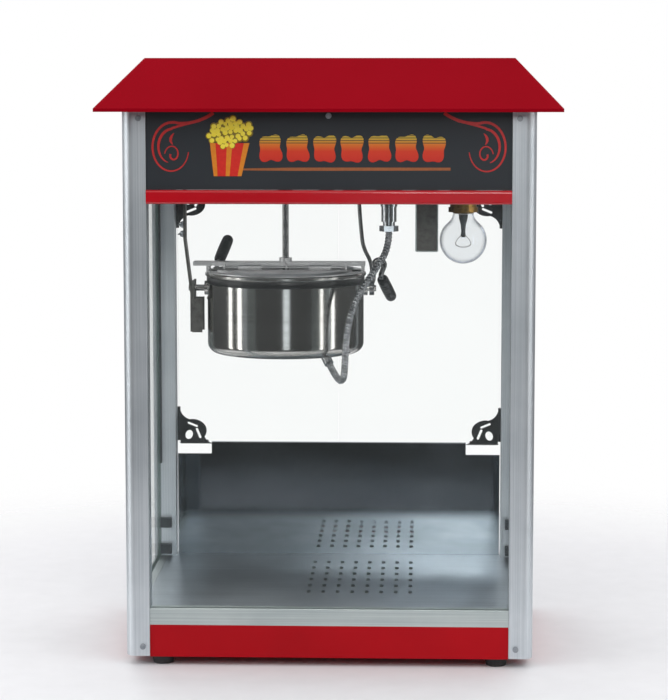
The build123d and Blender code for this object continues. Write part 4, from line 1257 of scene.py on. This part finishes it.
# %% The screw cap and the shield's hems
# The cap's measures are millimetres. Four steps make one turn of its thread.
CAP_RADIUS = 12.9
THREAD_STEPS = 25
THREAD_DEPTH = 0.45
cap_profile = [(0, 12.4)]
for i in range(THREAD_STEPS):
    cap_profile.append((0.6 + i * 0.6, CAP_RADIUS + THREAD_DEPTH * math.cos(math.pi * i / 2)))
cap_foot = (bulb_middle.x, bulb_middle.y, globe_middle.z + 34 * MM)
cap = turned(cap_foot, (0, 0, 1), in_metres(cap_profile), 32)
piece("lamp_screw_cap", *cap, lamp_brass, "cabinet", "cast_alloy")

HEM = 0.9 * MM
shield_low, shield_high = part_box("lamp_shield")
left, right = shield_low.x, shield_high.x
hem_corners = ((left, shield_high.z), (left, shield_low.z), (right, shield_low.z), (right, shield_high.z))
for name, y in (("front", shield_low.y), ("rear", shield_high.y)):
    corners = [Vector((x, y, z)) for x, z in hem_corners]
    hem_parts = [wire([a, b], HEM) for a, b in zip(corners, corners[1:])]
    piece(f"lamp_shield_hem_{name}", *joined(hem_parts), rail_aluminium, "cabinet", "steel")
print("hem radius", HEM)

# %% [markdown]
# ## Switch marks
#
# Each rocker carries the two plain marks that every mains switch has, a bar for on and a ring for
# off. They are thin raised shapes that follow the slope of the cap, found again with a ray.

# %% Mark the rockers
MARK_UP = 6.5 * MM
MARK_LIFT = 0.12 * MM
BAR_HALF_LENGTH, BAR_HALF_WIDTH = 2.6 * MM, 0.5 * MM
RING_OUTER, RING_INNER = 2.6 * MM, 1.7 * MM
RING_SIDES = 28


def bar_mark(middle, normal):
    """The bar for on: a thin slab along the cap's slope."""
    slope = Vector((0, -normal.z, normal.y)) * BAR_HALF_LENGTH
    side = Vector((BAR_HALF_WIDTH, 0, 0))
    corners = ((-1, -1), (-1, 1), (1, 1), (1, -1))
    front = [middle + normal * MARK_LIFT + slope * s + side * t for s, t in corners]
    back = [p - normal * 0.25 * MM for p in front]
    return front + back, slab_faces(4)


def ring_mark(middle, normal):
    """The ring for off."""
    across, up = frame_of(normal)
    section = (
        (RING_OUTER, MARK_LIFT), (RING_INNER, MARK_LIFT),
        (RING_INNER, -MARK_LIFT), (RING_OUTER, -MARK_LIFT),
    )
    points = []
    for angle in turns(RING_SIDES):
        out = across * math.cos(angle) + up * math.sin(angle)
        points += [middle + out * radius + normal * lift for radius, lift in section]
    return points, hoop_faces(RING_SIDES, len(section))


def rocker_marks(node):
    """A bar on the upper half of a rocker and a ring on its lower half."""
    low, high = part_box(node)
    middle = (low + high) / 2
    seats = [(middle.x, FAR, middle.z + up) for up in (MARK_UP, -MARK_UP)]
    upper, lower = [touch(node, seat, (0, -1, 0)) for seat in seats]
    return joined([bar_mark(*upper), ring_mark(*lower)])


for use in ("heat", "motor", "light"):
    piece(f"rocker_{use}_marks", *rocker_marks(f"rocker_{use}"), mark_white, f"rocker_{use}", "sign")
print("rockers marked")

# %% [markdown]
# ## Floor and light
#
# The machine stands on a pale floor that fades into the background, so that no horizon cuts through
# the glass. The light is a soft overhead box and several tall strips. Polished steel shows little but
# what it reflects, so the strips stand where the kettle's round wall turns them into upright streaks,
# and the darkness between them gives the steel its depth.

# %% Pale floor
FADE_STARTS, FADE_ENDS = 0.6, 1.25


def floor_finish():
    """Pale paint that turns clear towards the floor's edge."""
    finish = Finish("pale_floor")
    speckle = finish.noise((30, 30, 30), 4)
    ground = finish.shader({
        "Base Color": finish.blend(speckle, (226, 226, 228), (236, 236, 238)),
        "Roughness": 0.5 + 0.1 * speckle,
    })
    clear = finish.node("ShaderNodeBsdfTransparent")
    reach = finish.node("ShaderNodeVectorMath", {"operation": "LENGTH"}, {0: finish.place}).out("Value")
    fade = finish.between(reach, FADE_STARTS, FADE_ENDS)
    return finish.done(finish.node("ShaderNodeMixShader", None, {0: fade, 1: ground, 2: clear}))


FLOOR_HALF = 1.4
floor_mesh = bpy.data.meshes.new("pale_floor")
floor_corners = [(x * FLOOR_HALF, y * FLOOR_HALF, 0) for x, y in ((-1, -1), (1, -1), (1, 1), (-1, 1))]
floor_mesh.from_pydata(floor_corners, [], [(0, 1, 2, 3)])
floor_mesh.materials.append(floor_finish())
floor = bpy.data.objects.new("pale_floor", floor_mesh)
bpy.context.collection.objects.link(floor)
print("floor", 2 * FLOOR_HALF, "m across")

# %% Studio light
AIM_HEIGHT = 0.4
OVERHEAD_REACH = 0.3


def softbox(name, azimuth, distance, height, size, power, tint=(1, 1, 1)):
    """An area light that faces the machine from an azimuth: 0 is the front, 90 is the right.

    A light that hangs over the machine looks at its foot, and the others look at its middle.
    """
    angle = math.radians(azimuth)
    place = Vector((math.sin(angle) * distance, -math.cos(angle) * distance, height))
    data = bpy.data.lights.new(name, "AREA")
    data.shape = "RECTANGLE"
    data.size, data.size_y = size
    data.energy = power
    data.color = tint
    lamp = bpy.data.objects.new(name, data)
    lamp.location = place
    target = Vector((0, 0, AIM_HEIGHT if distance > OVERHEAD_REACH else 0))
    lamp.rotation_euler = (place - target).to_track_quat("Z", "Y").to_euler()
    lamp.visible_camera = False
    bpy.context.collection.objects.link(lamp)


softbox("overhead", 0, 0.25, 2.4, (2.6, 2.6), 13)
softbox("key_left", -50, 2.6, 1.9, (1.2, 1.0), 12)
softbox("key_right", 42, 2.6, 2.0, (1.2, 1.0), 11)
softbox("strip_far_left", -84, 1.9, 0.7, (0.2, 1.8), 3.2)
softbox("strip_left", -66, 1.9, 0.7, (0.3, 1.8), 6.5)
softbox("strip_front", 5, 2.9, 1.5, (0.5, 0.8), 12)
softbox("strip_low", 3, 3.3, 0.12, (0.5, 0.5), 1.1, (0.86, 0.94, 1.0))
softbox("strip_right", 55, 1.9, 0.7, (0.14, 1.8), 3.4)
softbox("strip_far_right", 74, 1.9, 0.7, (0.2, 1.8), 4)
softbox("back_left", 150, 2.4, 1.4, (1.4, 1.4), 12)
softbox("back_right", 210, 2.4, 1.4, (1.4, 1.4), 12)
print("lights", len(bpy.data.lights))

# %% The surroundings
DARK_FRONT, LIGHT_BACK = 0.1, 0.65
OVERHEAD_LEVEL = 0.6
BELOW_LEVEL = 0.05

world = bpy.data.worlds.new("studio")
world.use_nodes = True
bpy.context.scene.world = world
studio = Finish("studio", world.node_tree)
look = studio.coordinates.out("Generated")
height = studio.axis("Z", look)
depth = studio.axis("Y", look)
horizon = DARK_FRONT + (LIGHT_BACK - DARK_FRONT) * studio.between(depth, -0.5, 0.4)
glow = horizon + (OVERHEAD_LEVEL - horizon) * studio.between(height, 0.1, 0.8)
level = BELOW_LEVEL + (glow - BELOW_LEVEL) * studio.between(height, -0.1, 0.06)
grey = studio.node("ShaderNodeCombineXYZ", None, {0: level, 1: level, 2: level * 1.02})
seen = studio.node("ShaderNodeBackground", None, {"Color": (1, 1, 1, 1), "Strength": 1.0})
felt = studio.node("ShaderNodeBackground", None, {"Color": grey, "Strength": 1.0})
direct = studio.node("ShaderNodeLightPath").out("Is Camera Ray")
whole = studio.node("ShaderNodeMixShader", None, {0: direct, 1: felt, 2: seen})
studio.node("ShaderNodeOutputWorld", None, {"Surface": whole})
bpy.context.scene.view_settings.view_transform = "Standard"
print("surroundings ready")
